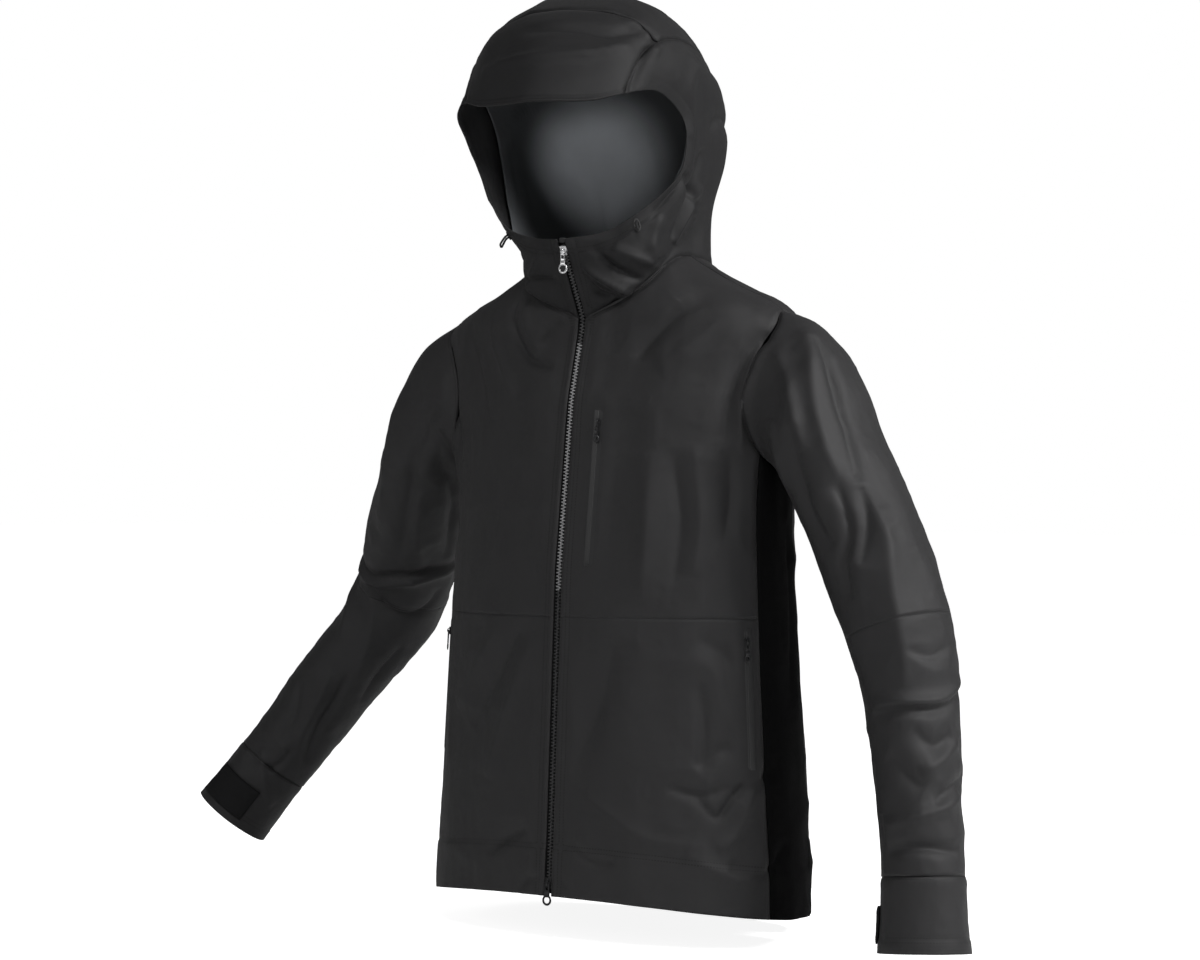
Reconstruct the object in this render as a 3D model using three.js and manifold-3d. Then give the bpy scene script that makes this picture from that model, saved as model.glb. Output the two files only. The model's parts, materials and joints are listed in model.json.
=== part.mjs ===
// A hooded hardshell jacket, standing open as it does on a body: a stiff waterproof shell cut in panels,
// a two-way front zip, a chest pocket, two hand pockets, hook-and-loop cuffs and a helmet-sized hood.
// Units are millimetres, +Z is up, the front faces -Y and the wearer's left is +X.
// The drafting frame has z = 0 at the front hem and the spine line at x = y = 0; the finished group is
// moved so that its origin is the hanger loop inside the back of the neck.
import * as THREE from "three";
import Module from "manifold-3d";
import { mergeVertices } from "three/addons/utils/BufferGeometryUtils.js";

const wasm = await Module();
wasm.setup();

const rad = THREE.MathUtils.degToRad;
const clamp = THREE.MathUtils.clamp;
const smooth = (x, a, b) => THREE.MathUtils.smoothstep(x, a, b);
const mix = (a, b, t) => a + (b - a) * t;
const vec = (p) => new THREE.Vector3(p[0], p[1], p[2]);

// ---------------------------------------------------------------- driving dimensions
const CLOTH = 2; // thickness of a shell panel with its backing
const SEAM_GAP = 0.5; // clear space between two panels at a seam
const CLEAR = 0.4; // running clearance between neighbouring solids
const CHEST_SEAM_Z = 295; // height of the seam across the chest
const SIDE_ANGLE = 74; // where the front panel meets the side panel, in degrees round from the zip
const BACK_ANGLE = 108; // where the side panel meets the back panel
const NECK_SEAM_Z = 612; // the neck seam at the zip
const SHOULDER_RISE = 70; // the neck seam at the shoulders stands this much higher
const NECK_DEPTH = 70; // half depth of the body at the neck's side
const TAIL_DROP = 48; // how far the back hem hangs below the front hem
const SIDE_DROP = 24; // how far the front hem has dropped at the side vent
const VENT_RISE = 34; // height of the notch in the hem at the side seam
const ARMHOLE = { z: 537, rise: 82, sweep: 30 }; // centre height, half height, half width in degrees
const HOOD_TURN = 10; // the hood is turned to the wearer's left, in degrees
const HOOD_CENTRE_Y = -50;
const HOOD_TURN_Z = [702, 800]; // heights between which the neck twists
const COLLAR_TOP_Z = 705; // the collar ends and the neck of the hood begins
const NECK_TOP_Z = 765; // the neck ends and the hood proper begins

const FRONT_ZIP = { halfGap: 0.4, tooth: 2.6, height: 3.2, tape: 13, depth: 3.2, top: 692, bottom: 6 };
const ZIP_EDGE = FRONT_ZIP.halfGap + FRONT_ZIP.tooth + 0.8 * CLOTH; // the cloth's edge beside the teeth
const COLLAR_FALL = 4; // the tape's outer edge lies this much deeper in the curved collar
const POCKET_ZIP = { halfGap: 0.4, tooth: 1.6, height: 1.6, tape: 8 };
const CHEST_ZIP = { x: 37, z0: CHEST_SEAM_Z + 57, z1: CHEST_SEAM_Z + 217 };
const HAND_ZIP = { angle: 67, z0: CHEST_SEAM_Z - 155, z1: CHEST_SEAM_Z - 13 };

const SHELL_COLOUR = 0x2b2b2e;
const SIDE_COLOUR = 0x161617;
const LINING_COLOUR = 0x54575a;
const BLACK = 0x0c0c0d;
const SILVER = 0xb9bcc0;

// Half depth of the front, from the spine line to the zip, by height. Straight runs carry the zips.
const FRONT_DEPTH = [[-80, 145.4], [345, 122], [525, 98.8], [612, 76], [712, 125]];
const DEPTH_SOFTEN = 9;
// Half width of the body, by height: the last four rows are the slope of the shoulders.
const HALF_WIDTH = [[-80, 226], [0, 222], [150, 214], [300, 206], [430, 201], [500, 208], [570, 219],
  [602, 222], [622, 203], [642, 164], [662, 122], [684, 85]];
const BACK_DEPTH = [[-80, 134], [0, 130], [200, 120], [420, 120], [520, 121], [580, 113], [622, 100],
  [662, 80], [684, 66]];
const SQUARENESS = 2.3; // exponent of the body's horizontal sections, where 2 is an ellipse

// Sleeves: the centre line below the armhole and the half width and half depth there.
const SLEEVES = {
  left: {
    side: 1,
    rings: [
      { at: [260, 4, 470], out: 56, fore: 76 },
      { at: [309, 2, 372], out: 57, fore: 68 },
      { at: [350, -4, 268], out: 53, fore: 57 },
      { at: [372, -18, 170], out: 45, fore: 48 },
      { at: [388, -34, 62], out: 43, fore: 45 },
      { at: [396, -46, -36], out: 47, fore: 49 },
    ],
  },
  right: {
    side: -1,
    rings: [
      { at: [-270, 24, 476], out: 56, fore: 76 },
      { at: [-330, 62, 388], out: 57, fore: 68 },
      { at: [-387, 96, 292], out: 52, fore: 57 },
      { at: [-446, 62, 206], out: 47, fore: 49 },
      { at: [-503, 22, 116], out: 44, fore: 46 },
      { at: [-556, -14, 34], out: 46, fore: 48 },
    ],
  },
};
const CAP_START = 0.02;
const CAP_END = 1.15; // the cap joins the rigid upper sleeve here, in rings along the sleeve
const ELBOW_START = 2.55;
const ELBOW_END = 3.6;
const CUFF_START = 5.2;

// Hood: guide lines from the face opening back over the head to the neck seam, at hood coordinates
// [to the left, forward, height], with the neck angle that each line ends on.
const HOOD_NEAR = [
  { neck: 0.7, line: [697, 680, 663, 646, 629].map((z) => [ZIP_EDGE, frontDepth(z) + HOOD_CENTRE_Y, z]) },
  { neck: 14, line: [[42, 52, 703], [46, 54, 686], [51, 50, 670], [56, 44, 655], [59, 36, 642]] },
  { neck: 35, line: [[72, 36, 721], [77, 36, 707], [82, 30, 694], [85, 20, 680], [85, 10, 668]] },
  { neck: 60, line: [[102, 18, 757], [104, 6, 742], [99, -6, 725], [92, -14, 708], [87, -20, 692]] },
  { neck: 90, line: [[110, 14, 795], [115, -10, 790], [113, -36, 770], [100, -50, 738], [89, -54, 708]] },
  { neck: 118, line: [[106, 24, 830], [119, -8, 832], [124, -52, 818], [112, -90, 782], [88, -95, 728]] },
  { neck: 140, line: [[98, 70, 848], [116, 32, 872], [122, -50, 866], [104, -116, 815], [74, -124, 742]] },
  { neck: 157.5, line: [[86, 125, 838], [99, 80, 893], [104, 0, 908], [94, -92, 880], [60, -142, 775]] },
  { neck: 168, line: [[60, 156, 829], [68, 104, 915], [66, 10, 949], [58, -98, 925], [32, -152, 790]] },
];
const HOOD_CROWN = { neck: 180, line: [[0, 176, 828], [0, 122, 922], [0, 12, 967], [0, -100, 944], [0, -156, 798]] };
// On the wearer's right the hood edge stands forward, so its rim has its own points.
const HOOD_FAR_RIM = [[-ZIP_EDGE, frontDepth(697) + HOOD_CENTRE_Y, 697], [-40, 62, 700], [-66, 76, 712], [-84, 88, 742], [-94, 100, 775],
  [-101, 113, 802], [-105, 124, 823], [-90, 140, 836], [-60, 158, 829]];
const FAR_RIM_PULL = [0, 0.6, 0.9, 0.9, 0.85, 0.75, 0.6, 0.4, 0.2]; // how much the next point follows the rim

// ---------------------------------------------------------------- numbers and curves

/** Piecewise straight interpolation of [x, value] rows. */
function straight(rows, x) {
  const k = clamp(rows.findIndex((r) => r[0] > x), 1, rows.length - 1);
  const last = x >= rows[rows.length - 1][0] ? rows.length - 1 : k;
  const [a, b] = [rows[last - 1], rows[last]];
  return mix(a[1], b[1], (x - a[0]) / (b[0] - a[0]));
}

/** A smooth curve through [x, value] rows. */
function curve(rows, x) {
  let k = rows.findIndex((r) => r[0] > x) - 1;
  if (k < 0) k = x < rows[0][0] ? 0 : rows.length - 2;
  const slope = (i) => {
    const [a, b] = [rows[Math.max(i - 1, 0)], rows[Math.min(i + 1, rows.length - 1)]];
    return (b[1] - a[1]) / (b[0] - a[0]);
  };
  const h = rows[k + 1][0] - rows[k][0];
  const t = (x - rows[k][0]) / h;
  const [t2, t3] = [t * t, t * t * t];
  return rows[k][1] * (2 * t3 - 3 * t2 + 1) + slope(k) * h * (t3 - 2 * t2 + t)
    + rows[k + 1][1] * (3 * t2 - 2 * t3) + slope(k + 1) * h * (t3 - t2);
}

/** The front depth with its corners softened over a short height; straight runs stay straight. */
function frontDepth(z) {
  const steps = 8;
  let sum = 0;
  for (let i = 0; i <= steps; i++) sum += straight(FRONT_DEPTH, z + DEPTH_SOFTEN * (2 * i / steps - 1));
  return sum / (steps + 1);
}

/** The front depth of the body itself: above the neck seam only the collar follows the zip. */
function chestDepth(z) {
  if (z < NECK_SEAM_Z) return frontDepth(z);
  return mix(frontDepth(NECK_SEAM_Z), NECK_DEPTH, (z - NECK_SEAM_Z) / (SHOULDER_RISE + 2));
}

/** A point of a smooth curve through points, at t from 0 to points.length - 1. */
function pathPoint(points, t) {
  const k = clamp(Math.floor(t), 0, points.length - 2);
  const f = t - k;
  const at = (i) => points[clamp(i, 0, points.length - 1)];
  const [a, b, c, d] = [at(k - 1), at(k), at(k + 1), at(k + 2)];
  const one = (p, q, r, s) => 0.5 * (2 * q + (r - p) * f + (2 * p - 5 * q + 4 * r - s) * f * f
    + (3 * q - p - 3 * r + s) * f * f * f);
  return new THREE.Vector3(one(a.x, b.x, c.x, d.x), one(a.y, b.y, c.y, d.y), one(a.z, b.z, c.z, d.z));
}

// ---------------------------------------------------------------- the body's surface
const power = (x) => Math.sign(x) * Math.abs(x) ** (2 / SQUARENESS);

/** A point of the body at an angle round from the zip (positive to the wearer's left) and a height. */
function bodyPoint(angle, z) {
  const [s, c] = [Math.sin(rad(angle)), Math.cos(rad(angle))];
  const depth = c > 0 ? chestDepth(z) : curve(BACK_DEPTH, z);
  return new THREE.Vector3(curve(HALF_WIDTH, z) * power(s), -depth * power(c), z);
}

/** A point this deep under the body's outer surface. */
function underBody(angle, z, depth) {
  const du = bodyPoint(angle + 1, z).sub(bodyPoint(angle - 1, z));
  const dv = bodyPoint(angle, z + 1).sub(bodyPoint(angle, z - 1));
  return bodyPoint(angle, z).addScaledVector(du.cross(dv).normalize(), -depth);
}

/** The hem's height: level in front, lower at the side and back, with a notch at each side seam. */
function hemZ(angle) {
  const a = Math.abs(angle);
  if (a <= BACK_ANGLE) return -SIDE_DROP * smooth(a, 0, BACK_ANGLE) + notch(a);
  return -SIDE_DROP - (TAIL_DROP - SIDE_DROP) * smooth(a, BACK_ANGLE, 150) + notch(a);
}

function notch(a) {
  return VENT_RISE * Math.max(0, 1 - Math.abs(a - BACK_ANGLE) / 7);
}

/** The neck seam's height, lowest at the zip and highest at the sides of the neck. */
function neckZ(angle) {
  const a = Math.abs(angle);
  const s = Math.sin(rad(a));
  if (a <= 90) return NECK_SEAM_Z + SHOULDER_RISE * s ** 0.8;
  return NECK_SEAM_Z + SHOULDER_RISE - 20 * Math.abs(Math.cos(rad(a))) ** 1.5;
}

/** The armhole's lower edge at an angle. */
function armholeFloorZ(angle) {
  const k = clamp((90 - Math.abs(angle)) / ARMHOLE.sweep, -1, 1);
  return ARMHOLE.z - ARMHOLE.rise * Math.sqrt(1 - k * k);
}

/** The angle of the front panel's outer edge: the side seam, then the armhole, then the shoulder seam. */
function frontEdge(z) {
  const k = (z - ARMHOLE.z) / ARMHOLE.rise;
  if (k >= 1) return 90;
  const onArmhole = 90 - ARMHOLE.sweep * Math.sqrt(Math.max(0, 1 - k * k));
  return k < 0 ? Math.min(SIDE_ANGLE, Math.abs(k) < 1 ? onArmhole : SIDE_ANGLE) : onArmhole;
}

function backEdge(z) {
  const k = (z - ARMHOLE.z) / ARMHOLE.rise;
  if (k >= 1) return 90;
  const onArmhole = 90 + ARMHOLE.sweep * Math.sqrt(Math.max(0, 1 - k * k));
  return k < 0 ? Math.max(BACK_ANGLE, Math.abs(k) < 1 ? onArmhole : BACK_ANGLE) : onArmhole;
}

/** The angle at which the front panel's edge is this far from the centre line at a height. */
function angleAtX(x, z) {
  return THREE.MathUtils.radToDeg(Math.asin((x / curve(HALF_WIDTH, z)) ** (SQUARENESS / 2)));
}

// ---------------------------------------------------------------- the sleeves' surface
/** The armhole's rim: 0 at the shoulder, 90 in front, 180 at the armpit, 270 behind. */
function armholePoint(side, turn) {
  const [s, c] = [Math.sin(rad(turn)), Math.cos(rad(turn))];
  return bodyPoint(side * (90 - ARMHOLE.sweep * s), ARMHOLE.z + ARMHOLE.rise * c);
}

/** A point of a sleeve, at t rings along it and turned as on the armhole. */
function sleevePoint(sleeve, t, turn) {
  const centres = sleeve.rings.map((r) => vec(r.at));
  const along = (u) => pathPoint(centres, u);
  const ringPoint = (u) => {
    const uu = clamp(u, 0, centres.length - 1);
    const axis = along(Math.min(uu + 0.05, centres.length - 1)).sub(along(Math.max(uu - 0.05, 0))).normalize();
    const out = new THREE.Vector3(sleeve.side, 0, 0);
    out.addScaledVector(axis, -out.dot(axis)).normalize();
    const fore = new THREE.Vector3(0, -1, 0);
    fore.addScaledVector(axis, -fore.dot(axis)).addScaledVector(out, -fore.dot(out)).normalize();
    const size = (key) => curve(sleeve.rings.map((r, i) => [i, r[key]]), uu);
    return along(uu)
      .addScaledVector(out, size("out") * Math.cos(rad(turn)))
      .addScaledVector(fore, size("fore") * Math.sin(rad(turn)));
  };
  if (t >= 1) return ringPoint(t - 1);
  const [start, end] = [armholePoint(sleeve.side, turn), ringPoint(0)];
  const ahead = ringPoint(0.2).sub(end).normalize();
  const reach = start.distanceTo(end) * 0.4;
  const leave = new THREE.Vector3(sleeve.side * 0.94, 0, -0.34).multiplyScalar(reach);
  const bend = new THREE.CubicBezierCurve3(start, start.clone().add(leave),
    end.clone().addScaledVector(ahead, -reach), end);
  return bend.getPoint(t);
}

// ---------------------------------------------------------------- the hood's surface
/** From hood coordinates to the drafting frame: the neck twists up to the hood's turn. */
function hoodFrame([left, forward, z]) {
  const turn = rad(HOOD_TURN * smooth(z, ...HOOD_TURN_Z));
  return new THREE.Vector3(left * Math.cos(turn) + forward * Math.sin(turn),
    HOOD_CENTRE_Y + left * Math.sin(turn) - forward * Math.cos(turn), z);
}

const mirrored = (p) => [-p[0], p[1], p[2]];
const nearGuides = HOOD_NEAR.map((g) => ({ neck: g.neck, line: g.line }));
const farGuides = HOOD_NEAR.map((g, i) => {
  const line = g.line.map(mirrored);
  const shift = HOOD_FAR_RIM[i].map((x, k) => x - line[0][k]);
  line[0] = HOOD_FAR_RIM[i];
  line[1] = line[1].map((x, k) => x + shift[k] * FAR_RIM_PULL[i] * 0.6);
  return { neck: -g.neck, line };
});
const allGuides = [...nearGuides, HOOD_CROWN, ...farGuides.reverse()];
const neckAngles = allGuides.map((g) => (g.neck < 0 ? g.neck + 360 : g.neck));
const hoodGuides = allGuides.map((g) => {
  const points = g.line.map(hoodFrame);
  points.push(bodyPoint(g.neck, neckZ(g.neck)));
  return points;
});
const HOOD_LAST = hoodGuides.length - 1; // guides run from the zip's left edge round to its right edge

/** A point of the hood: u in guides round from the zip, v from 0 at the face opening to 1 at the neck. */
function hoodPoint(u, v) {
  const at = (share) => pathPoint(hoodGuides.map((points) => pathPoint(points, share * (points.length - 1))), u);
  const seam = neckPoint(u).sub(at(1));
  return at(v).addScaledVector(seam, smooth(v, 0.7, 1));
}

/** The point of the body's neck edge that a guide number ends on. */
function neckPoint(u) {
  const k = clamp(Math.floor(u), 0, HOOD_LAST - 1);
  const angle = mix(neckAngles[k], neckAngles[k + 1], u - k);
  return bodyPoint(angle, neckZ(angle > 180 ? angle - 360 : angle));
}

// ---------------------------------------------------------------- solids
/** A three.js geometry as a manifold-3d solid. */
function solidOf(geometry) {
  const bare = geometry.clone();
  for (const name of Object.keys(bare.attributes)) if (name !== "position") bare.deleteAttribute(name);
  const merged = mergeVertices(bare, 1e-3);
  const mesh = new wasm.Mesh({
    numProp: 3,
    vertProperties: Float32Array.from(merged.attributes.position.array),
    triVerts: Uint32Array.from(merged.index.array),
  });
  return new wasm.Manifold(mesh);
}

/** A manifold-3d solid as a three.js geometry. */
function geometryOf(solid) {
  const mesh = solid.getMesh();
  const points = new Float32Array(mesh.numVert * 3);
  for (let i = 0; i < mesh.numVert; i++) {
    points.set(mesh.vertProperties.subarray(i * mesh.numProp, i * mesh.numProp + 3), i * 3);
  }
  const geometry = new THREE.BufferGeometry();
  geometry.setAttribute("position", new THREE.BufferAttribute(points, 3));
  geometry.setIndex(new THREE.BufferAttribute(Uint32Array.from(mesh.triVerts), 1));
  return geometry;
}

/**
 * A closed sheet of cloth over a patch: point(u, v) with u and v from 0 to 1, `outward` a point that the
 * outer face looks away from. Its edges are pulled in by half a seam gap, except where the patch closes.
 */
function cloth(point, uSteps, vSteps, options = {}) {
  const { thickness = CLOTH, inset = 0, closed = false, inside = new THREE.Vector3(0, 0, 400) } = options;
  const grid = [];
  for (let i = 0; i <= uSteps; i++) {
    grid.push([]);
    for (let j = 0; j <= vSteps; j++) grid[i].push(point(i / uSteps, j / vSteps));
  }
  const reach = 0.3; // share of a step over which the surface's slope is taken
  const normalAt = (i, j) => {
    const slope = (du, dv) => point((i + du) / uSteps, (j + dv) / vSteps)
      .sub(point((i - du) / uSteps, (j - dv) / vSteps));
    return slope(reach, 0).cross(slope(0, reach)).normalize();
  };
  const normals = grid.map((row, i) => row.map((_, j) => normalAt(i, j)));
  const middle = [Math.floor(uSteps / 2), Math.floor(vSteps / 2)];
  const centre = typeof inside === "function" ? inside(middle[1] / vSteps) : inside;
  const away = grid[middle[0]][middle[1]].clone().sub(centre);
  const sign = normals[middle[0]][middle[1]].dot(away) < 0 ? -1 : 1;
  const pull = (a, b) => a.clone().add(b.clone().sub(a).setLength(SEAM_GAP / 2));
  const trimmed = grid.map((row) => row.map((p) => p.clone()));
  for (let j = 0; j <= vSteps && !closed; j++) {
    trimmed[0][j] = pull(grid[0][j], grid[1][j]);
    trimmed[uSteps][j] = pull(grid[uSteps][j], grid[uSteps - 1][j]);
  }
  for (let i = 0; i <= uSteps; i++) {
    trimmed[i][0].add(grid[i][1].clone().sub(grid[i][0]).setLength(SEAM_GAP / 2));
    trimmed[i][vSteps].add(grid[i][vSteps - 1].clone().sub(grid[i][vSteps]).setLength(SEAM_GAP / 2));
  }
  const columns = closed ? uSteps : uSteps + 1;
  const points = [];
  for (const depth of [inset, inset + thickness]) {
    for (let i = 0; i < columns; i++) {
      for (let j = 0; j <= vSteps; j++) {
        points.push(trimmed[i][j].clone().addScaledVector(normals[i][j], -sign * depth));
      }
    }
  }
  const layer = columns * (vSteps + 1);
  const id = (i, j, k) => k * layer + (i % columns) * (vSteps + 1) + j;
  const index = [];
  const quad = (a, b, c, d) => index.push(a, b, c, a, c, d);
  for (let i = 0; i < uSteps; i++) {
    for (let j = 0; j < vSteps; j++) {
      quad(id(i, j, 0), id(i + 1, j, 0), id(i + 1, j + 1, 0), id(i, j + 1, 0));
      quad(id(i, j, 1), id(i, j + 1, 1), id(i + 1, j + 1, 1), id(i + 1, j, 1));
    }
    quad(id(i, 0, 0), id(i, 0, 1), id(i + 1, 0, 1), id(i + 1, 0, 0));
    quad(id(i, vSteps, 0), id(i + 1, vSteps, 0), id(i + 1, vSteps, 1), id(i, vSteps, 1));
  }
  for (let j = 0; j < vSteps && !closed; j++) {
    quad(id(0, j, 0), id(0, j + 1, 0), id(0, j + 1, 1), id(0, j, 1));
    quad(id(uSteps, j, 0), id(uSteps, j, 1), id(uSteps, j + 1, 1), id(uSteps, j + 1, 0));
  }
  if (sign < 0) for (let k = 0; k < index.length; k += 3) [index[k + 1], index[k + 2]] = [index[k + 2], index[k + 1]];
  const geometry = new THREE.BufferGeometry();
  geometry.setAttribute("position", new THREE.Float32BufferAttribute(points.flatMap((p) => p.toArray()), 3));
  geometry.setIndex(index);
  return geometry;
}

/** A box as a solid, from its lowest to its highest corner. */
function boxSolid(low, high) {
  const box = new THREE.BoxGeometry(high[0] - low[0], high[1] - low[1], high[2] - low[2]);
  box.translate((low[0] + high[0]) / 2, (low[1] + high[1]) / 2, (low[2] + high[2]) / 2);
  return solidOf(box);
}

const EVERYWHERE = 2000;
const slab = (low, high) => boxSolid([-EVERYWHERE, -EVERYWHERE, low], [EVERYWHERE, EVERYWHERE, high]);

/** A round bar between two points. */
function bar(from, to, radius, sides = 10) {
  const [a, b] = [vec(from), vec(to)];
  const shape = new THREE.CylinderGeometry(radius, radius, a.distanceTo(b), sides);
  const turn = new THREE.Quaternion().setFromUnitVectors(new THREE.Vector3(0, 1, 0), b.clone().sub(a).normalize());
  shape.applyQuaternion(turn);
  shape.translate(...a.add(b).multiplyScalar(0.5).toArray());
  return shape;
}

/** A plate of the given outline in x and z, lying from y = back to y = front (front is the lower value). */
function plate(shape, front, back, curveSegments = 10) {
  const made = new THREE.ExtrudeGeometry(shape, { depth: back - front, bevelEnabled: false, curveSegments });
  made.rotateX(Math.PI / 2);
  made.translate(0, back, 0);
  return made;
}

// ---------------------------------------------------------------- the assembly
const jacket = new THREE.Group();
jacket.name = "hardshell_jacket";

function material(colour, roughness, metalness = 0) {
  return new THREE.MeshStandardMaterial({ color: colour, roughness, metalness });
}
const shellCloth = material(SHELL_COLOUR, 0.8);
const sideCloth = material(SIDE_COLOUR, 0.85);
const liningCloth = material(LINING_COLOUR, 0.9);
const blackCloth = material(BLACK, 0.9);
const blackPlastic = material(BLACK, 0.45);
const blackMetal = material(BLACK, 0.35, 0.8);
const silverMetal = material(SILVER, 0.25, 1);

function add(name, geometry, finish) {
  const mesh = new THREE.Mesh(geometry, finish);
  mesh.name = name;
  jacket.add(mesh);
  return mesh;
}

const sides = { left: 1, right: -1 };
const UNDER_SHELL = CLOTH + CLEAR; // depth at which a first inner layer may start

// ---------------------------------------------------------------- zips
/**
 * The straight frame of a zip that lies on the front: its centre line from z0 to z1, with `up` along the
 * zip, `out` away from the cloth and `across` to the left.
 */
function zipFrame(low, high, outHint) {
  const up = high.clone().sub(low).normalize();
  const out = outHint.clone().addScaledVector(up, -outHint.dot(up)).normalize();
  const across = up.clone().cross(out).normalize();
  return { low, high, up, out, across, length: low.distanceTo(high) };
}

/** Moves a geometry drawn with x across, -y outward and z along the zip to its place on a zip. */
function placeOnZip(geometry, frame, along) {
  const basis = new THREE.Matrix4().makeBasis(frame.across, frame.out.clone().negate(), frame.up);
  basis.setPosition(frame.low.clone().addScaledVector(frame.up, along));
  return geometry.clone().applyMatrix4(basis);
}

/** One half of a straight pocket zip: tape and toothed edge in one. `half` is 1 or -1. */
function straightHalf(size, length, half) {
  const across = (a, b) => (half > 0 ? [a, b] : [-b, -a]);
  const [t0, t1] = across(size.halfGap, size.tape);
  const [e0, e1] = across(size.halfGap, size.halfGap + size.tooth);
  const tape = boxSolid([t0, 0, 0], [t1, 0.8, length]);
  const edge = boxSolid([e0, -size.height, 4], [e1, 0.4, length - 4]);
  return geometryOf(tape.add(edge));
}

/** A zip slider: face plate, two flanges beside the teeth and the bridge that carries the puller. */
function sliderGeometry(size, length, crown) {
  const half = size.halfGap + size.tooth + CLEAR + 0.9;
  const face = -(size.height + CLEAR);
  const outline = new THREE.Shape();
  outline.moveTo(-half * 0.72, -length / 2);
  outline.lineTo(half * 0.72, -length / 2);
  outline.quadraticCurveTo(half, -length / 4, half, 0);
  outline.lineTo(half, length / 2 - 1.5);
  outline.quadraticCurveTo(half, length / 2, half - 1.5, length / 2);
  outline.lineTo(-half + 1.5, length / 2);
  outline.quadraticCurveTo(-half, length / 2, -half, length / 2 - 1.5);
  outline.lineTo(-half, 0);
  outline.quadraticCurveTo(-half, -length / 4, -half * 0.72, -length / 2);
  let solid = solidOf(plate(outline, face - 1.1, face, 4));
  for (const s of [-1, 1]) {
    const [x0, x1] = s > 0 ? [half - 0.9, half] : [-half, -half + 0.9];
    solid = solid.add(boxSolid([x0, face - 0.3, -length * 0.2], [x1, -CLEAR, length / 2 - 1.5]));
  }
  const bridge = new THREE.Shape();
  bridge.moveTo(-crown.span / 2, 0);
  bridge.lineTo(-crown.span / 2, crown.rise);
  bridge.lineTo(crown.span / 2, crown.rise);
  bridge.lineTo(crown.span / 2, 0);
  bridge.lineTo(crown.span / 2 - 1.1, 0);
  bridge.lineTo(crown.span / 2 - 1.1, crown.rise - 1);
  bridge.lineTo(-crown.span / 2 + 1.1, crown.rise - 1);
  bridge.lineTo(-crown.span / 2 + 1.1, 0);
  bridge.closePath();
  const arch = new THREE.ExtrudeGeometry(bridge, { depth: crown.width, bevelEnabled: false });
  arch.translate(0, 0, -crown.width / 2);
  const stand = new THREE.Matrix4().makeBasis(
    new THREE.Vector3(0, 0, 1), new THREE.Vector3(0, -1, 0), new THREE.Vector3(1, 0, 0));
  arch.applyMatrix4(stand);
  arch.translate(0, face - 0.9, 0);
  return geometryOf(solid.add(solidOf(arch)));
}

/**
 * A puller that hangs from a slider's bridge: a cross bar in the bridge, a stem with a slot and an oval
 * ring. The bar lies on x at the origin, and the puller hangs towards -z.
 */
function pullerGeometry(size) {
  const { barHalf, length, ringHalf, stemHalf, thick } = size;
  const ringTop = -length + ringHalf * 2.1;
  const outline = new THREE.Shape();
  outline.moveTo(-barHalf, thick / 2);
  outline.lineTo(-barHalf, -3);
  outline.quadraticCurveTo(-stemHalf, -5, -stemHalf, ringTop);
  outline.quadraticCurveTo(-ringHalf, ringTop - 1.5, -ringHalf, -length + ringHalf);
  outline.absarc(0, -length + ringHalf, ringHalf, Math.PI, 2 * Math.PI, false);
  outline.quadraticCurveTo(ringHalf, ringTop - 1.5, stemHalf, ringTop);
  outline.quadraticCurveTo(stemHalf, -5, barHalf, -3);
  outline.lineTo(barHalf, thick / 2);
  outline.closePath();
  const window = new THREE.Path();
  const inner = barHalf - 1.1;
  window.moveTo(-inner, -thick / 2);
  window.lineTo(inner, -thick / 2);
  window.lineTo(inner * 0.75, -size.slot);
  window.lineTo(-inner * 0.75, -size.slot);
  window.closePath();
  outline.holes.push(window);
  const ring = new THREE.Path();
  ring.absellipse(0, -length + ringHalf, ringHalf - 1.5, ringHalf - 1.7, 0, 2 * Math.PI, true);
  outline.holes.push(ring);
  return plate(outline, -thick / 2, thick / 2, 8);
}

const FRONT_CROWN = { span: 6.2, rise: 3.6, width: 2 };
const POCKET_CROWN = { span: 5.4, rise: 3.4, width: 1.6 };
const FRONT_PULLER = { barHalf: 3.6, length: 24, ringHalf: 5.8, stemHalf: 3, thick: 1.5, slot: 9 };
const POCKET_PULLER = { barHalf: 2.8, length: 21, ringHalf: 3.4, stemHalf: 2.2, thick: 1.3, slot: 7 };

/** The depth outward of a puller's hinge line from the zip's tape. */
function hingeDepth(size, crown) {
  return size.height + CLEAR + (1 + crown.rise) / 2;
}

/** Adds a slider and its puller to a zip, `along` millimetres up it; `swing` turns the puller off the cloth. */
function addSlider(name, frame, along, size, crown, puller, finish, length, swing = 0) {
  add(name + "_slider", placeOnZip(sliderGeometry(size, length, crown), frame, along), finish);
  const hanging = pullerGeometry(puller);
  hanging.rotateX(-swing);
  hanging.translate(0, -hingeDepth(size, crown), 0);
  add(name + "_puller", placeOnZip(hanging, frame, along), finish);
}

/** Heights at which anything swept up the centre front has a section: closest at the neck seam. */
const CENTRE_HEIGHTS = [FRONT_ZIP.bottom, 80, 160, 240, 320, 350, 385, 420, 455, 490, 512, 525, 540, 560, 580, 596,
  603, 608, 612, 616, 621, 630, 645, 660, 676, FRONT_ZIP.top];

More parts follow.
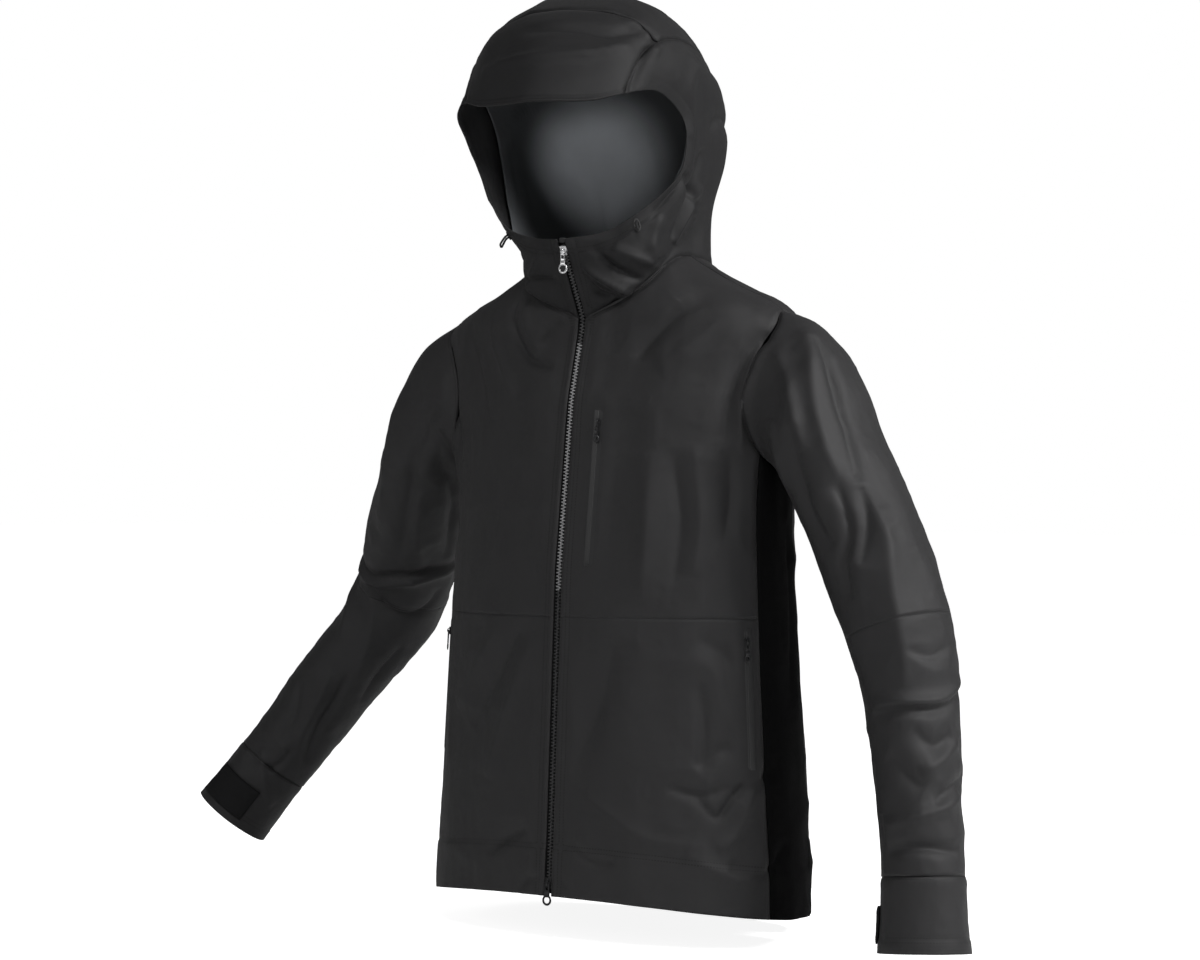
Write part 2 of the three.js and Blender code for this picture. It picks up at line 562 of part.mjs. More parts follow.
/**
 * A solid swept up the centre front from hem to chin. `section(collar)` gives the corners as
 * [x, height above the tape], clockwise from the lower left, where collar runs from 0 to 1 at the neck.
 */
function centreSweep(section) {
  const rings = CENTRE_HEIGHTS.map((z) => {
    const slope = (frontDepth(z + 1) - frontDepth(z - 1)) / 2;
    const out = new THREE.Vector3(0, -1, -slope).normalize();
    const base = new THREE.Vector3(0, -frontDepth(z), z).addScaledVector(out, -FRONT_ZIP.depth);
    return section(smooth(z, 596, 616)).map(([x, height]) => base.clone().addScaledVector(out, height).setX(x));
  });
  const n = rings[0].length;
  const last = rings.length - 1;
  const index = [];
  for (let k = 0; k < last; k++) {
    for (let i = 0; i < n; i++) {
      const [a, b] = [k * n + i, k * n + ((i + 1) % n)];
      index.push(a, b, b + n, a, b + n, a + n);
    }
  }
  const corners = section(0).map((p) => new THREE.Vector2(...p));
  for (const [a, b, c] of THREE.ShapeUtils.triangulateShape(corners, [])) {
    index.push(a, b, c);
    index.push(last * n + a, last * n + c, last * n + b);
  }
  const geometry = new THREE.BufferGeometry();
  const points = rings.flat();
  geometry.setAttribute("position", new THREE.Float32BufferAttribute(points.flatMap((p) => p.toArray()), 3));
  geometry.setIndex(index);
  return geometry;
}

/** One half of the front zip: tape and toothed edge in one, in section. `half` is 1 or -1. */
function frontHalf(half) {
  const { halfGap, tooth, tape, height } = FRONT_ZIP;
  return centreSweep((collar) => {
    const fall = COLLAR_FALL * collar;
    const corners = [[halfGap, -0.8], [halfGap, height], [halfGap + tooth, height], [halfGap + tooth, 0],
      [tape, -fall], [tape, -0.8 - fall]];
    return half > 0 ? corners : corners.map(([x, y]) => [-x, y]).reverse();
  });
}

/** The straight frame of the front zip between two heights of one straight run. */
function frontZipFrame(z0, z1) {
  const point = (z) => new THREE.Vector3(0, -frontDepth(z), z);
  const frame = zipFrame(point(z0), point(z1), new THREE.Vector3(0, -1, 0));
  frame.low.addScaledVector(frame.out, -FRONT_ZIP.depth);
  frame.high.addScaledVector(frame.out, -FRONT_ZIP.depth);
  return frame;
}

const lowerRun = frontZipFrame(FRONT_ZIP.bottom, 320);
const collarRun = frontZipFrame(625, FRONT_ZIP.top);
const chestRun = zipFrame(
  bodyPoint(angleAtX(CHEST_ZIP.x, CHEST_ZIP.z0), CHEST_ZIP.z0),
  bodyPoint(angleAtX(CHEST_ZIP.x, CHEST_ZIP.z1), CHEST_ZIP.z1),
  new THREE.Vector3(0.12, -1, 0));
const handRuns = Object.fromEntries(Object.entries(sides).map(([name, side]) => {
  const low = bodyPoint(side * HAND_ZIP.angle, HAND_ZIP.z0);
  const high = bodyPoint(side * HAND_ZIP.angle, HAND_ZIP.z1);
  return [name, zipFrame(low, high, new THREE.Vector3(side * 0.72, -0.69, 0))];
}));
for (const run of [chestRun, handRuns.left, handRuns.right]) {
  run.low.addScaledVector(run.out, -1.2);
  run.high.addScaledVector(run.out, -1.2);
}

/** The slot that a pocket zip needs through the cloth. */
function zipSlot(run, size) {
  const hole = boxSolid([-size.tape - CLEAR, -12, -CLEAR], [size.tape + CLEAR, 9, run.length + CLEAR]);
  return solidOf(placeOnZip(geometryOf(hole), run, 0));
}

// ---------------------------------------------------------------- body panels
// Rows up the side of a panel: seam rows shared with the next panel, then rows round the armhole that
// fall on the same turns as the sleeve's.
const ARMHOLE_TURNS = [120, 100, 80, 60, 40, 20, 0];
const SEAM_ROWS = 3;
const UPPER_ROWS = SEAM_ROWS + ARMHOLE_TURNS.length + 3;
const SHOULDER_V = (SEAM_ROWS + ARMHOLE_TURNS.length) / UPPER_ROWS;
const LOWER_ROWS = 8;
const armholeRows = ARMHOLE_TURNS.map((t, i) => [SEAM_ROWS + 1 + i, ARMHOLE.z + ARMHOLE.rise * Math.cos(rad(t))]);
const frontRows = [[0, CHEST_SEAM_Z], [SEAM_ROWS, armholeFloorZ(SIDE_ANGLE)], ...armholeRows];
const backRows = [[0, CHEST_SEAM_Z], [SEAM_ROWS, armholeFloorZ(BACK_ANGLE)], ...armholeRows];

for (const [name, side] of Object.entries(sides)) {
  const hand = zipSlot(handRuns[name], POCKET_ZIP);
  const lower = cloth((u, v) => {
    const z = mix(hemZ(mix(0, SIDE_ANGLE, u)), CHEST_SEAM_Z, v);
    return bodyPoint(side * mix(angleAtX(ZIP_EDGE, z), SIDE_ANGLE, u), z);
  }, 14, 8);
  add(`front_lower_${name}`, geometryOf(solidOf(lower).subtract(hand)), shellCloth);

  const upper = cloth((u, v) => {
    const top = mix(ARMHOLE.z + ARMHOLE.rise, neckZ(90), (v - SHOULDER_V) / (1 - SHOULDER_V));
    const edgeZ = v < SHOULDER_V ? straight(frontRows, v * UPPER_ROWS) : top;
    const angle = (z) => mix(angleAtX(ZIP_EDGE, z), frontEdge(z), u);
    const crest = neckZ(mix(angleAtX(ZIP_EDGE, neckZ(0)), 90, u));
    const z = mix(edgeZ, mix(CHEST_SEAM_Z, crest, v), Math.max(0, 1 - u) ** 0.7 * (v < 1 ? 1 : 0));
    if (v >= 1) return bodyPoint(side * mix(angleAtX(ZIP_EDGE, neckZ(0)), 90, u), crest);
    return bodyPoint(side * angle(z), z);
  }, 12, UPPER_ROWS);
  const upperSolid = solidOf(upper);
  const chest = side > 0 ? upperSolid.subtract(zipSlot(chestRun, POCKET_ZIP)) : upperSolid;
  // The shoulder seam lies in the plane of the shoulders.
  const ahead = boxSolid([-EVERYWHERE, -EVERYWHERE, 0], [EVERYWHERE, -SEAM_GAP / 2, EVERYWHERE]);
  add(`front_upper_${name}`, geometryOf(chest.intersect(ahead)), shellCloth);

  const flank = cloth((u, v) => {
    const angle = mix(SIDE_ANGLE, BACK_ANGLE, u);
    const row = v * (LOWER_ROWS + SEAM_ROWS);
    const z = row < LOWER_ROWS ? mix(hemZ(angle), CHEST_SEAM_Z, row / LOWER_ROWS)
      : mix(CHEST_SEAM_Z, armholeFloorZ(angle), (row - LOWER_ROWS) / SEAM_ROWS);
    return bodyPoint(side * angle, z);
  }, 6, LOWER_ROWS + SEAM_ROWS);
  add(`side_panel_${name}`, flank, sideCloth);
}

const backTotal = LOWER_ROWS + UPPER_ROWS;
add("back_panel", cloth((u, v) => {
  const span = 2 * u - 1; // -1 at the right edge, 1 at the left edge
  const edge = Math.abs(span);
  const row = v * backTotal - LOWER_ROWS;
  const share = row / UPPER_ROWS;
  if (row <= 0) {
    const angle = mix(180, BACK_ANGLE, edge);
    return bodyPoint(span < 0 ? 360 - angle : angle, mix(hemZ(angle), CHEST_SEAM_Z, v * backTotal / LOWER_ROWS));
  }
  const crest = neckZ(mix(180, 90, edge));
  if (share >= 1) return bodyPoint(mix(180, 90, edge) * (span < 0 ? -1 : 1), crest);
  const top = mix(ARMHOLE.z + ARMHOLE.rise, neckZ(90), (share - SHOULDER_V) / (1 - SHOULDER_V));
  const z = mix(share < SHOULDER_V ? straight(backRows, row) : top, mix(CHEST_SEAM_Z, crest, share), 1 - edge);
  const angle = mix(180, backEdge(z), edge);
  return bodyPoint(span < 0 ? 360 - angle : angle, z);
}, 24, backTotal), shellCloth);

// ---------------------------------------------------------------- sleeves
for (const [name, sleeve] of Object.entries(SLEEVES)) {
  const centreAt = (t0, t1) => (v) => {
    const t = mix(t0, t1, v);
    return sleevePoint(sleeve, t, 0).add(sleevePoint(sleeve, t, 180)).multiplyScalar(0.5);
  };
  const tube = (t0, t1, steps, options = {}) => cloth(
    (u, v) => sleevePoint(sleeve, mix(t0, t1, v), 360 * u), 18, steps,
    { closed: true, inside: centreAt(t0, t1), ...options });
  add(`sleeve_cap_${name}`, tube(CAP_START, CAP_END, 5), shellCloth);
  add(`sleeve_upper_${name}`, tube(CAP_END, ELBOW_START, 6), shellCloth);
  add(`sleeve_elbow_${name}`, tube(ELBOW_START, ELBOW_END, 4), shellCloth);
  add(`sleeve_lower_${name}`, tube(ELBOW_END, CUFF_START, 5), shellCloth);
  add(`cuff_${name}`, tube(CUFF_START, sleeve.rings.length, 3), shellCloth);
  // The hook-and-loop tab lies over the cuff, sewn at one end; its landing patch lies under it.
  const [t0, t1] = [CUFF_START + 0.3, CUFF_START + 0.62];
  const tabSpan = name === "left" ? [150, 235] : [60, 145];
  const band = (from, to, a, b, inset, thickness) => cloth(
    (u, v) => sleevePoint(sleeve, mix(a, b, v), mix(from, to, u)), 6, 1,
    { inset, thickness, inside: centreAt(a, b) });
  add(`cuff_loop_patch_${name}`, band(tabSpan[0] + 8, tabSpan[1], t0, t1, -1.2 - CLEAR, 1.2), blackCloth);
  add(`cuff_tab_${name}`, band(...tabSpan, t0 - 0.04, t1 + 0.04, -2 * (1.2 + CLEAR) - 0.6, 1.6), blackCloth);
}

// ---------------------------------------------------------------- hood and collar
const CROWN_GUIDES = [7, HOOD_LAST - 7]; // the seams either side of the hood's centre panel
const NECK_STEPS = { front: 12, back: 9, centre: 6 }; // columns that meet the body's own at the neck seam
const HOOD_ROWS = 17;
const PEAK_ROWS = 4;
const headInside = new THREE.Vector3(0, -40, 800);

/** The guide number whose line ends on a neck angle. */
function guideAt(angle) {
  const k = clamp(neckAngles.findIndex((a) => a > angle) - 1, 0, HOOD_LAST - 1);
  const row = angle >= neckAngles[HOOD_LAST] ? HOOD_LAST - 1 : k;
  return row + (angle - neckAngles[row]) / (neckAngles[row + 1] - neckAngles[row]);
}

/** The guide number of a column of the hood's left half: even steps of neck angle in front and behind. */
function sideGuide(u) {
  const column = u * (NECK_STEPS.front + NECK_STEPS.back);
  if (column < NECK_STEPS.front) return guideAt(mix(neckAngles[0], 90, column / NECK_STEPS.front));
  return guideAt(mix(90, neckAngles[CROWN_GUIDES[0]], (column - NECK_STEPS.front) / NECK_STEPS.back));
}

const hoodCloth = (guide, v0, v1, uSteps, vSteps, options = {}) => cloth(
  (u, v) => hoodPoint(guide(u), mix(v0, v1, v)), uSteps, vSteps, { inside: headInside, ...options });
const centreGuide = (u) => mix(...CROWN_GUIDES, u);
const columns = NECK_STEPS.front + NECK_STEPS.back;
const halves = {
  left: solidOf(hoodCloth(sideGuide, 0, 1, columns, HOOD_ROWS)),
  right: solidOf(hoodCloth((u) => HOOD_LAST - sideGuide(1 - u), 0, 1, columns, HOOD_ROWS)),
};
for (const [name, half] of Object.entries(halves)) {
  add(`collar_${name}`, geometryOf(half.intersect(slab(-EVERYWHERE, COLLAR_TOP_Z))), shellCloth);
  add(`hood_side_${name}`, geometryOf(half.intersect(slab(NECK_TOP_Z + SEAM_GAP, EVERYWHERE))), shellCloth);
}
const peakV = PEAK_ROWS / HOOD_ROWS;
const crown = solidOf(hoodCloth(centreGuide, peakV, 1, NECK_STEPS.centre, HOOD_ROWS - PEAK_ROWS));
add("collar_back", geometryOf(crown.intersect(slab(-EVERYWHERE, COLLAR_TOP_Z))), shellCloth);
// The neck of the hood is one band that flexes when the hood tilts.
const bandGuide = (u) => {
  const column = u * (2 * columns + NECK_STEPS.centre);
  if (column <= columns) return sideGuide(column / columns);
  if (column >= columns + NECK_STEPS.centre) return HOOD_LAST - sideGuide(2 + (NECK_STEPS.centre - column) / columns);
  return centreGuide((column - columns) / NECK_STEPS.centre);
};
const band = solidOf(hoodCloth(bandGuide, 0, 1, 2 * columns + NECK_STEPS.centre, HOOD_ROWS));
add("hood_neck", geometryOf(band.intersect(slab(COLLAR_TOP_Z + SEAM_GAP, NECK_TOP_Z))), shellCloth);
add("hood_centre", geometryOf(crown.intersect(slab(NECK_TOP_Z + SEAM_GAP, EVERYWHERE))), shellCloth);
const PEAK_GAP = 0.004; // the peak's root stands this share of a guide line clear of the crown
add("hood_peak", hoodCloth(centreGuide, 0, peakV - PEAK_GAP, NECK_STEPS.centre, PEAK_ROWS), shellCloth);
const lining = solidOf(hoodCloth((u) => mix(3, HOOD_LAST - 3, u), 0.28, 0.93, 20, 12,
  { inset: UNDER_SHELL + 2.8, thickness: 1 }));
add("hood_lining", geometryOf(lining.intersect(slab(NECK_TOP_Z + 3, EVERYWHERE))), liningCloth);

// ---------------------------------------------------------------- front zip
add("front_zip_left", frontHalf(1), blackPlastic);
add("front_zip_right", frontHalf(-1), blackPlastic);
addSlider("front_top", collarRun, collarRun.length - 8, FRONT_ZIP, FRONT_CROWN, FRONT_PULLER, silverMetal,
  11, Math.acos(collarRun.up.z)); // the collar leans forward, so this puller hangs plumb, clear of it
addSlider("front_bottom", lowerRun, 8, FRONT_ZIP, FRONT_CROWN, FRONT_PULLER, blackMetal, 11);

// ---------------------------------------------------------------- pocket zips
const pocketRuns = { chest: chestRun, hand_left: handRuns.left, hand_right: handRuns.right };
for (const [name, run] of Object.entries(pocketRuns)) {
  const halfSolids = [1, -1].map((half) => solidOf(placeOnZip(straightHalf(POCKET_ZIP, run.length, half), run, 0)));
  // The halves are joined by a stop at each end, as on a closed pocket zip.
  const stops = [0, run.length - 3].map((at) => solidOf(placeOnZip(
    geometryOf(boxSolid([-1.2, -0.2, 0], [1.2, 0.8, 3])), run, at)));
  add(`${name}_zip`, geometryOf(halfSolids[0].add(halfSolids[1]).add(stops[0]).add(stops[1])), blackPlastic);
  addSlider(name, run, run.length - 11, POCKET_ZIP, POCKET_CROWN, POCKET_PULLER, blackMetal, 8.5);
}

// ---------------------------------------------------------------- inside the shell
add("storm_flap", centreSweep((collar) => {
  const top = -1.4 - 1.1 * COLLAR_FALL * collar;
  const outer = top - 8 * collar; // the left edge follows the curve of the collar
  return [[-11, top - 1], [-11, top], [9, top], [26, outer], [26, outer - 1], [9, top - 1]];
}), blackCloth);
const FACING_TOP = VENT_RISE + 12; // the hem facing stands this high above the plain hem
const BAG_FLOOR = FACING_TOP + 24; // the hand pocket bags end clear above the facing
const BAG_DEPTH = UNDER_SHELL + 1; // the bags hang clear of the pocket zips' tapes
for (const [name, side] of Object.entries(sides)) {
  add(`hand_pocket_bag_${name}`, cloth((u, v) => bodyPoint(
    side * mix(26, 71, u), mix(BAG_FLOOR, HAND_ZIP.z1 + 6, v)), 9, 6, { inset: BAG_DEPTH, thickness: 1.2 }), blackCloth);
}
add("chest_pocket_bag", cloth((u, v) => bodyPoint(
  mix(angleAtX(29, CHEST_ZIP.z1), 42, u), mix(CHEST_ZIP.z0 - 27, CHEST_ZIP.z1 - 7, v)), 7, 7, { inset: BAG_DEPTH, thickness: 1.2 }), blackCloth);
add("hem_facing", cloth((u, v) => {
  const angle = mix(12, 348, u);
  const signed = angle > 180 ? angle - 360 : angle;
  const plain = hemZ(signed) - notch(Math.abs(signed));
  return bodyPoint(angle, mix(hemZ(signed) + 3, plain + FACING_TOP, v));
}, 56, 1, { inset: UNDER_SHELL, thickness: 1 }), blackCloth);
const NECK_TAPE = { span: 60, low: 14, high: 4, thickness: 1 };
add("neck_tape", cloth((u, v) => {
  const angle = 180 + NECK_TAPE.span * (2 * u - 1);
  const signed = angle > 180 ? angle - 360 : angle;
  return bodyPoint(angle, neckZ(signed) - mix(NECK_TAPE.low, NECK_TAPE.high, v));
}, 16, 1, { inset: UNDER_SHELL + 0.3, thickness: NECK_TAPE.thickness }), blackCloth);

// The hanger loop: a narrow tape that bows inwards and down from the neck tape.
const LOOP = { angle: 12, half: 3, thick: 1.2, bow: 14, sag: 12 };
const loopEnd = (side) => underBody(180 + side * LOOP.angle, neckZ(180 - LOOP.angle) - 9,
  UNDER_SHELL + 0.9 + NECK_TAPE.thickness + CLEAR + LOOP.thick / 2);
const loopEnds = [loopEnd(1), loopEnd(-1)];
const loopMiddle = loopEnds[0].clone().add(loopEnds[1]).multiplyScalar(0.5);
const hanger = loopMiddle.clone().add(new THREE.Vector3(0, -LOOP.bow / 2, -LOOP.sag / 2));
const loopTape = new THREE.Shape();
loopTape.moveTo(-LOOP.half, -LOOP.thick / 2);
loopTape.lineTo(LOOP.half, -LOOP.thick / 2);
loopTape.lineTo(LOOP.half, LOOP.thick / 2);
loopTape.lineTo(-LOOP.half, LOOP.thick / 2);
loopTape.closePath();
const loopPath = new THREE.QuadraticBezierCurve3(loopEnds[0],
  loopMiddle.clone().add(new THREE.Vector3(0, -LOOP.bow, -LOOP.sag)), loopEnds[1]);
add("hanger_loop", new THREE.ExtrudeGeometry(loopTape, { steps: 14, extrudePath: loopPath }), blackCloth);

// ---------------------------------------------------------------- cords and small fittings
add("zip_garage", placeOnZip(geometryOf(boxSolid([-ZIP_EDGE + 0.8, -2.8, 0.6], [ZIP_EDGE - 0.8, 0.8, 5.4])),
  collarRun, collarRun.length), shellCloth);

const CORD_EXIT = { guide: 2, v: 0.16, gap: 5, radius: 1.2, reach: 11, drop: 5 };
for (const [name, side] of Object.entries(sides)) {
  const guide = side > 0 ? CORD_EXIT.guide : HOOD_LAST - CORD_EXIT.guide;
  const at = hoodPoint(guide, CORD_EXIT.v);
  const du = hoodPoint(guide + 0.1, CORD_EXIT.v).sub(hoodPoint(guide - 0.1, CORD_EXIT.v));
  const dv = hoodPoint(guide, CORD_EXIT.v + 0.02).sub(hoodPoint(guide, CORD_EXIT.v - 0.02)).normalize();
  const out = dv.clone().cross(du).normalize();
  if (out.dot(at.clone().sub(headInside).setZ(0)) < 0) out.negate();
  const across = out.clone().cross(dv).normalize();
  // The eyelet: an oval rim on the collar, its long way up and down.
  const oval = new THREE.Shape();
  oval.absellipse(0, 0, 3.6, 7, 0, 2 * Math.PI, false);
  const hole = new THREE.Path();
  hole.absellipse(0, 0, 2.2, 5.4, 0, 2 * Math.PI, true);
  oval.holes.push(hole);
  const rim = new THREE.ExtrudeGeometry(oval, { depth: 1, bevelEnabled: false, curveSegments: 7 });
  rim.applyMatrix4(new THREE.Matrix4().makeBasis(across, dv, across.clone().cross(dv))
    .setPosition(at.clone().addScaledVector(out, CLEAR + (across.clone().cross(dv).dot(out) < 0 ? 1 : 0))));
  add(`cord_eyelet_${name}`, rim, blackPlastic);
  // The elastic cord comes out of the eyelet as a short hanging loop.
  const foot = (sign) => at.clone().addScaledVector(dv, sign * CORD_EXIT.gap / 2).addScaledVector(out, CLEAR + 0.3);
  const tip = at.clone().addScaledVector(out, CORD_EXIT.reach).add(new THREE.Vector3(0, 0, -CORD_EXIT.drop));
  const lift = (p, far) => p.clone().addScaledVector(out, far);
  const route = new THREE.CatmullRomCurve3([foot(-1), lift(foot(-1), 4), tip.clone().addScaledVector(dv, -3), tip,
    tip.clone().addScaledVector(dv, 3), lift(foot(1), 4), foot(1)]);
  const section = new THREE.Shape();
  section.absarc(0, 0, CORD_EXIT.radius, 0, 2 * Math.PI, false);
  add(`hood_cord_${name}`, new THREE.ExtrudeGeometry(section,
    { steps: 20, curveSegments: 4, extrudePath: route }), blackCloth);
  // The hem's cord lock: a barrel inside the hem facing, beside the side seam.
  const lock = (z) => underBody(side * 84, z, UNDER_SHELL + 1 + CLEAR + 5.2).toArray();
  add(`hem_cord_lock_${name}`, bar(lock(-14), lock(2), 5, 10), blackPlastic);
}

// ---------------------------------------------------------------- placing the origin
jacket.position.copy(hanger).negate();

export default jacket;
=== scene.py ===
"""A hooded hardshell jacket, standing as worn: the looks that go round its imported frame."""
import json
import logging
import math
from dataclasses import dataclass
from enum import Enum
from functools import cached_property
from typing import Callable, Sequence

import bpy
import numpy as np
from mathutils import Matrix, Vector

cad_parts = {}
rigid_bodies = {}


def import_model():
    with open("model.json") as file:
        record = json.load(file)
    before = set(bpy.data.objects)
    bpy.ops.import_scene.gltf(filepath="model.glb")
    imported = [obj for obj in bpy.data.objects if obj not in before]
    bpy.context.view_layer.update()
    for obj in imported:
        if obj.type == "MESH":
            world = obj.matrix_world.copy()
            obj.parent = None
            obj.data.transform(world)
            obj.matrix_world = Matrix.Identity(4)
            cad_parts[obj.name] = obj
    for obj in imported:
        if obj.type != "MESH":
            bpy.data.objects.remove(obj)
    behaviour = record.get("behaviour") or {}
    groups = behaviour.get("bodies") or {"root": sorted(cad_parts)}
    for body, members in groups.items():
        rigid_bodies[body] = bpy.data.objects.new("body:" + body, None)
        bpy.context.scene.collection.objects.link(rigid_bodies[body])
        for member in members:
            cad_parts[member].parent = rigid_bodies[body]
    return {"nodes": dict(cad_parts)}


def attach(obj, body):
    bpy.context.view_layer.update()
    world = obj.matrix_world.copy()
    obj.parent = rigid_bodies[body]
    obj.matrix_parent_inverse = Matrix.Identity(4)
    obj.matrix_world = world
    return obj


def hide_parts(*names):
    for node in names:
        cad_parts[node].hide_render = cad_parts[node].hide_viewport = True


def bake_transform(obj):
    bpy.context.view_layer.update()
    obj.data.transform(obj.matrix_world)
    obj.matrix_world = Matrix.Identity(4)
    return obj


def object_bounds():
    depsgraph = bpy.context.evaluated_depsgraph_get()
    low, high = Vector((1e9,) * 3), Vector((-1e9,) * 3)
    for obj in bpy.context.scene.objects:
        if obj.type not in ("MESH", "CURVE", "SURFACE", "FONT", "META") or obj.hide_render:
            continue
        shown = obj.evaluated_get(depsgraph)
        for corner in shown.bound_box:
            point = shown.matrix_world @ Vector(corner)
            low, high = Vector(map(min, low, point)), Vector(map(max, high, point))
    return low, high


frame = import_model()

LOG = logging.getLogger("jacket")
Points = np.ndarray
CAD_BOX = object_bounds()

# ------------------------------------------------------------------ cutting table (millimetres)
HANGER = np.array([0.0, 71.41, 644.97])  # the hanger loop in the cutting frame, where z = 0 is the front hem
NECK_SEAM_Z, SHOULDER_RISE, NECK_DEPTH = 612.0, 70.0, 70.0
CHEST_SEAM_Z, SIDE_ANGLE, BACK_ANGLE = 295.0, 74.0, 108.0
TAIL_DROP, SIDE_DROP, VENT_RISE = 48.0, 24.0, 34.0
ARMHOLE_Z, ARMHOLE_RISE, ARMHOLE_SWEEP = 537.0, 82.0, 30.0
SQUARENESS = 2.3
ZIP_EDGE = 4.6
HOOD_TURN, HOOD_CENTRE_Y, HOOD_TURN_Z = 10.0, -50.0, (702.0, 800.0)
COLLAR_TOP_Z, NECK_TOP_Z = 705.0, 765.0
CHEST_X, CHEST_ZIP, HAND_ANGLE, HAND_ZIP = 37.0, (352.0, 512.0), 67.0, (140.0, 282.0)
TAB_T = (5.5, 5.82)
FRONT_DEPTH = [(-80, 145.4), (345, 122), (525, 98.8), (612, 76), (712, 125)]
DEPTH_SOFTEN = 9.0
HALF_WIDTH = [(-80, 226), (0, 222), (150, 214), (300, 206), (430, 201), (500, 208), (570, 219), (602, 222),
              (622, 203), (642, 164), (662, 122), (684, 85)]
BACK_DEPTH = [(-80, 134), (0, 130), (200, 120), (420, 120), (520, 121), (580, 113), (622, 100), (662, 80),
              (684, 66)]


class Side(Enum):
    """The wearer's two sides, with the sign of x on each."""

    LEFT = 1
    RIGHT = -1

    @property
    def word(self) -> str:
        """The side's name in a piece's name."""
        return self.name.lower()


def smooth(x: Points | float, low: float, high: float) -> Points:
    """A smooth step from 0 at low to 1 at high."""
    t = np.clip((np.asarray(x, float) - low) / (high - low), 0, 1)
    return t * t * (3 - 2 * t)


def mix(a: Points | float, b: Points | float, t: Points | float) -> Points:
    """The value a share t of the way from a to b."""
    return a + (b - a) * t


def straight(rows: Sequence[tuple[float, float]], x: Points) -> Points:
    """Straight interpolation of (x, value) rows."""
    return np.interp(x, [r[0] for r in rows], [r[1] for r in rows])


def curve(rows: Sequence[tuple[float, float]], x: Points) -> Points:
    """A smooth curve through (x, value) rows, carried on past its ends.

    Args:
        rows: the (x, value) pairs, in rising x.
        x: where to read the curve.

    Returns:
        the curve's value at each x.
    """
    xs, ys = np.array(rows, float).T
    x = np.asarray(x, float)
    k = np.clip(np.searchsorted(xs, x, side="right") - 1, 0, len(xs) - 2)
    before, after = np.maximum(np.arange(len(xs)) - 1, 0), np.minimum(np.arange(len(xs)) + 1, len(xs) - 1)
    slope = (ys[after] - ys[before]) / (xs[after] - xs[before])
    h = xs[k + 1] - xs[k]
    t = (x - xs[k]) / h
    t2, t3 = t * t, t * t * t
    return (ys[k] * (2 * t3 - 3 * t2 + 1) + slope[k] * h * (t3 - 2 * t2 + t)
            + ys[k + 1] * (3 * t2 - 2 * t3) + slope[k + 1] * h * (t3 - t2))


def through(points: Points, t: Points) -> Points:
    """A smooth curve through points, at each t from 0 to their number less one.

    Args:
        points: the places that the curve passes, first axis along it.
        t: where to read the curve, counted in points.

    Returns:
        the place at each t.
    """
    t = np.asarray(t, float)
    last = len(points) - 1
    k = np.clip(np.floor(t).astype(int), 0, last - 1)
    f = (t - k)[..., None]
    a, b = points[np.clip(k - 1, 0, last)], points[k]
    c, d = points[k + 1], points[np.clip(k + 2, 0, last)]
    return 0.5 * (2 * b + (c - a) * f + (2 * a - 5 * b + 4 * c - d) * f * f
                  + (3 * b - a - 3 * c + d) * f ** 3)


def stack(*parts: Points | float) -> Points:
    """Coordinates given one by one as an array of points."""
    return np.stack(np.broadcast_arrays(*parts), axis=-1).astype(float)


def frame_at(x: Points, y: Points, z: Points, at: Points) -> Matrix:
    """From millimetres along three directions at a place in the cutting frame to metres in the part's frame.

    Args:
        x: the first direction.
        y: the second direction.
        z: the third direction.
        at: the place.

    Returns:
        the matrix.
    """
    rows = np.column_stack([x / 1000, y / 1000, z / 1000, (at - HANGER) / 1000])
    return Matrix([*rows.tolist(), [0, 0, 0, 1]])


def unit(v: Points) -> Points:
    """Vectors brought to length 1."""
    return v / np.maximum(np.linalg.norm(v, axis=-1, keepdims=True), 1e-9)


# ------------------------------------------------------------------ the body's surface
def front_depth(z: Points) -> Points:
    """Half depth of the front at the zip, with its corners softened."""
    steps = np.linspace(-1, 1, 9) * DEPTH_SOFTEN
    return sum(straight(FRONT_DEPTH, np.asarray(z, float) + s) for s in steps) / len(steps)


def chest_depth(z: Points) -> Points:
    """Half depth of the body itself: above the neck seam only the collar follows the zip.

    Args:
        z: heights.

    Returns:
        the half depth at each height.
    """
    z = np.asarray(z, float)
    top = mix(front_depth(NECK_SEAM_Z), NECK_DEPTH, (z - NECK_SEAM_Z) / (SHOULDER_RISE + 2))
    return np.where(z < NECK_SEAM_Z, front_depth(z), top)


def body_point(angle: Points, z: Points) -> Points:
    """The body at an angle round from the zip (to the wearer's left) and a height.

    Args:
        angle: degrees round from the zip.
        z: heights.

    Returns:
        places on the body.
    """
    s, c = np.sin(np.radians(angle)), np.cos(np.radians(angle))
    depth = np.where(c > 0, chest_depth(z), curve(BACK_DEPTH, z))
    power = 2 / SQUARENESS
    across = curve(HALF_WIDTH, z) * np.sign(s) * np.abs(s) ** power
    return stack(across, -depth * np.sign(c) * np.abs(c) ** power, z)


def notch(a: Points) -> Points:
    """The rise of the hem at the side vent."""
    return VENT_RISE * np.maximum(0, 1 - np.abs(a - BACK_ANGLE) / np.where(a > BACK_ANGLE, 11, 7))


def hem_z(angle: Points) -> Points:
    """The hem's height round the body."""
    a = np.abs(angle)
    side, tail = smooth(a, 0, BACK_ANGLE), smooth(a, BACK_ANGLE, 150)
    return -SIDE_DROP * side - (TAIL_DROP - SIDE_DROP) * tail + notch(a)


def neck_z(angle: Points) -> Points:
    """The neck seam's height round the neck.

    Args:
        angle: degrees round from the zip.

    Returns:
        the seam's height at each angle.
    """
    a = np.abs(angle)
    front = NECK_SEAM_Z + SHOULDER_RISE * np.maximum(np.sin(np.radians(a)), 0) ** 0.8
    return np.where(a <= 90, front, NECK_SEAM_Z + SHOULDER_RISE - 20 * np.abs(np.cos(np.radians(a))) ** 1.5)


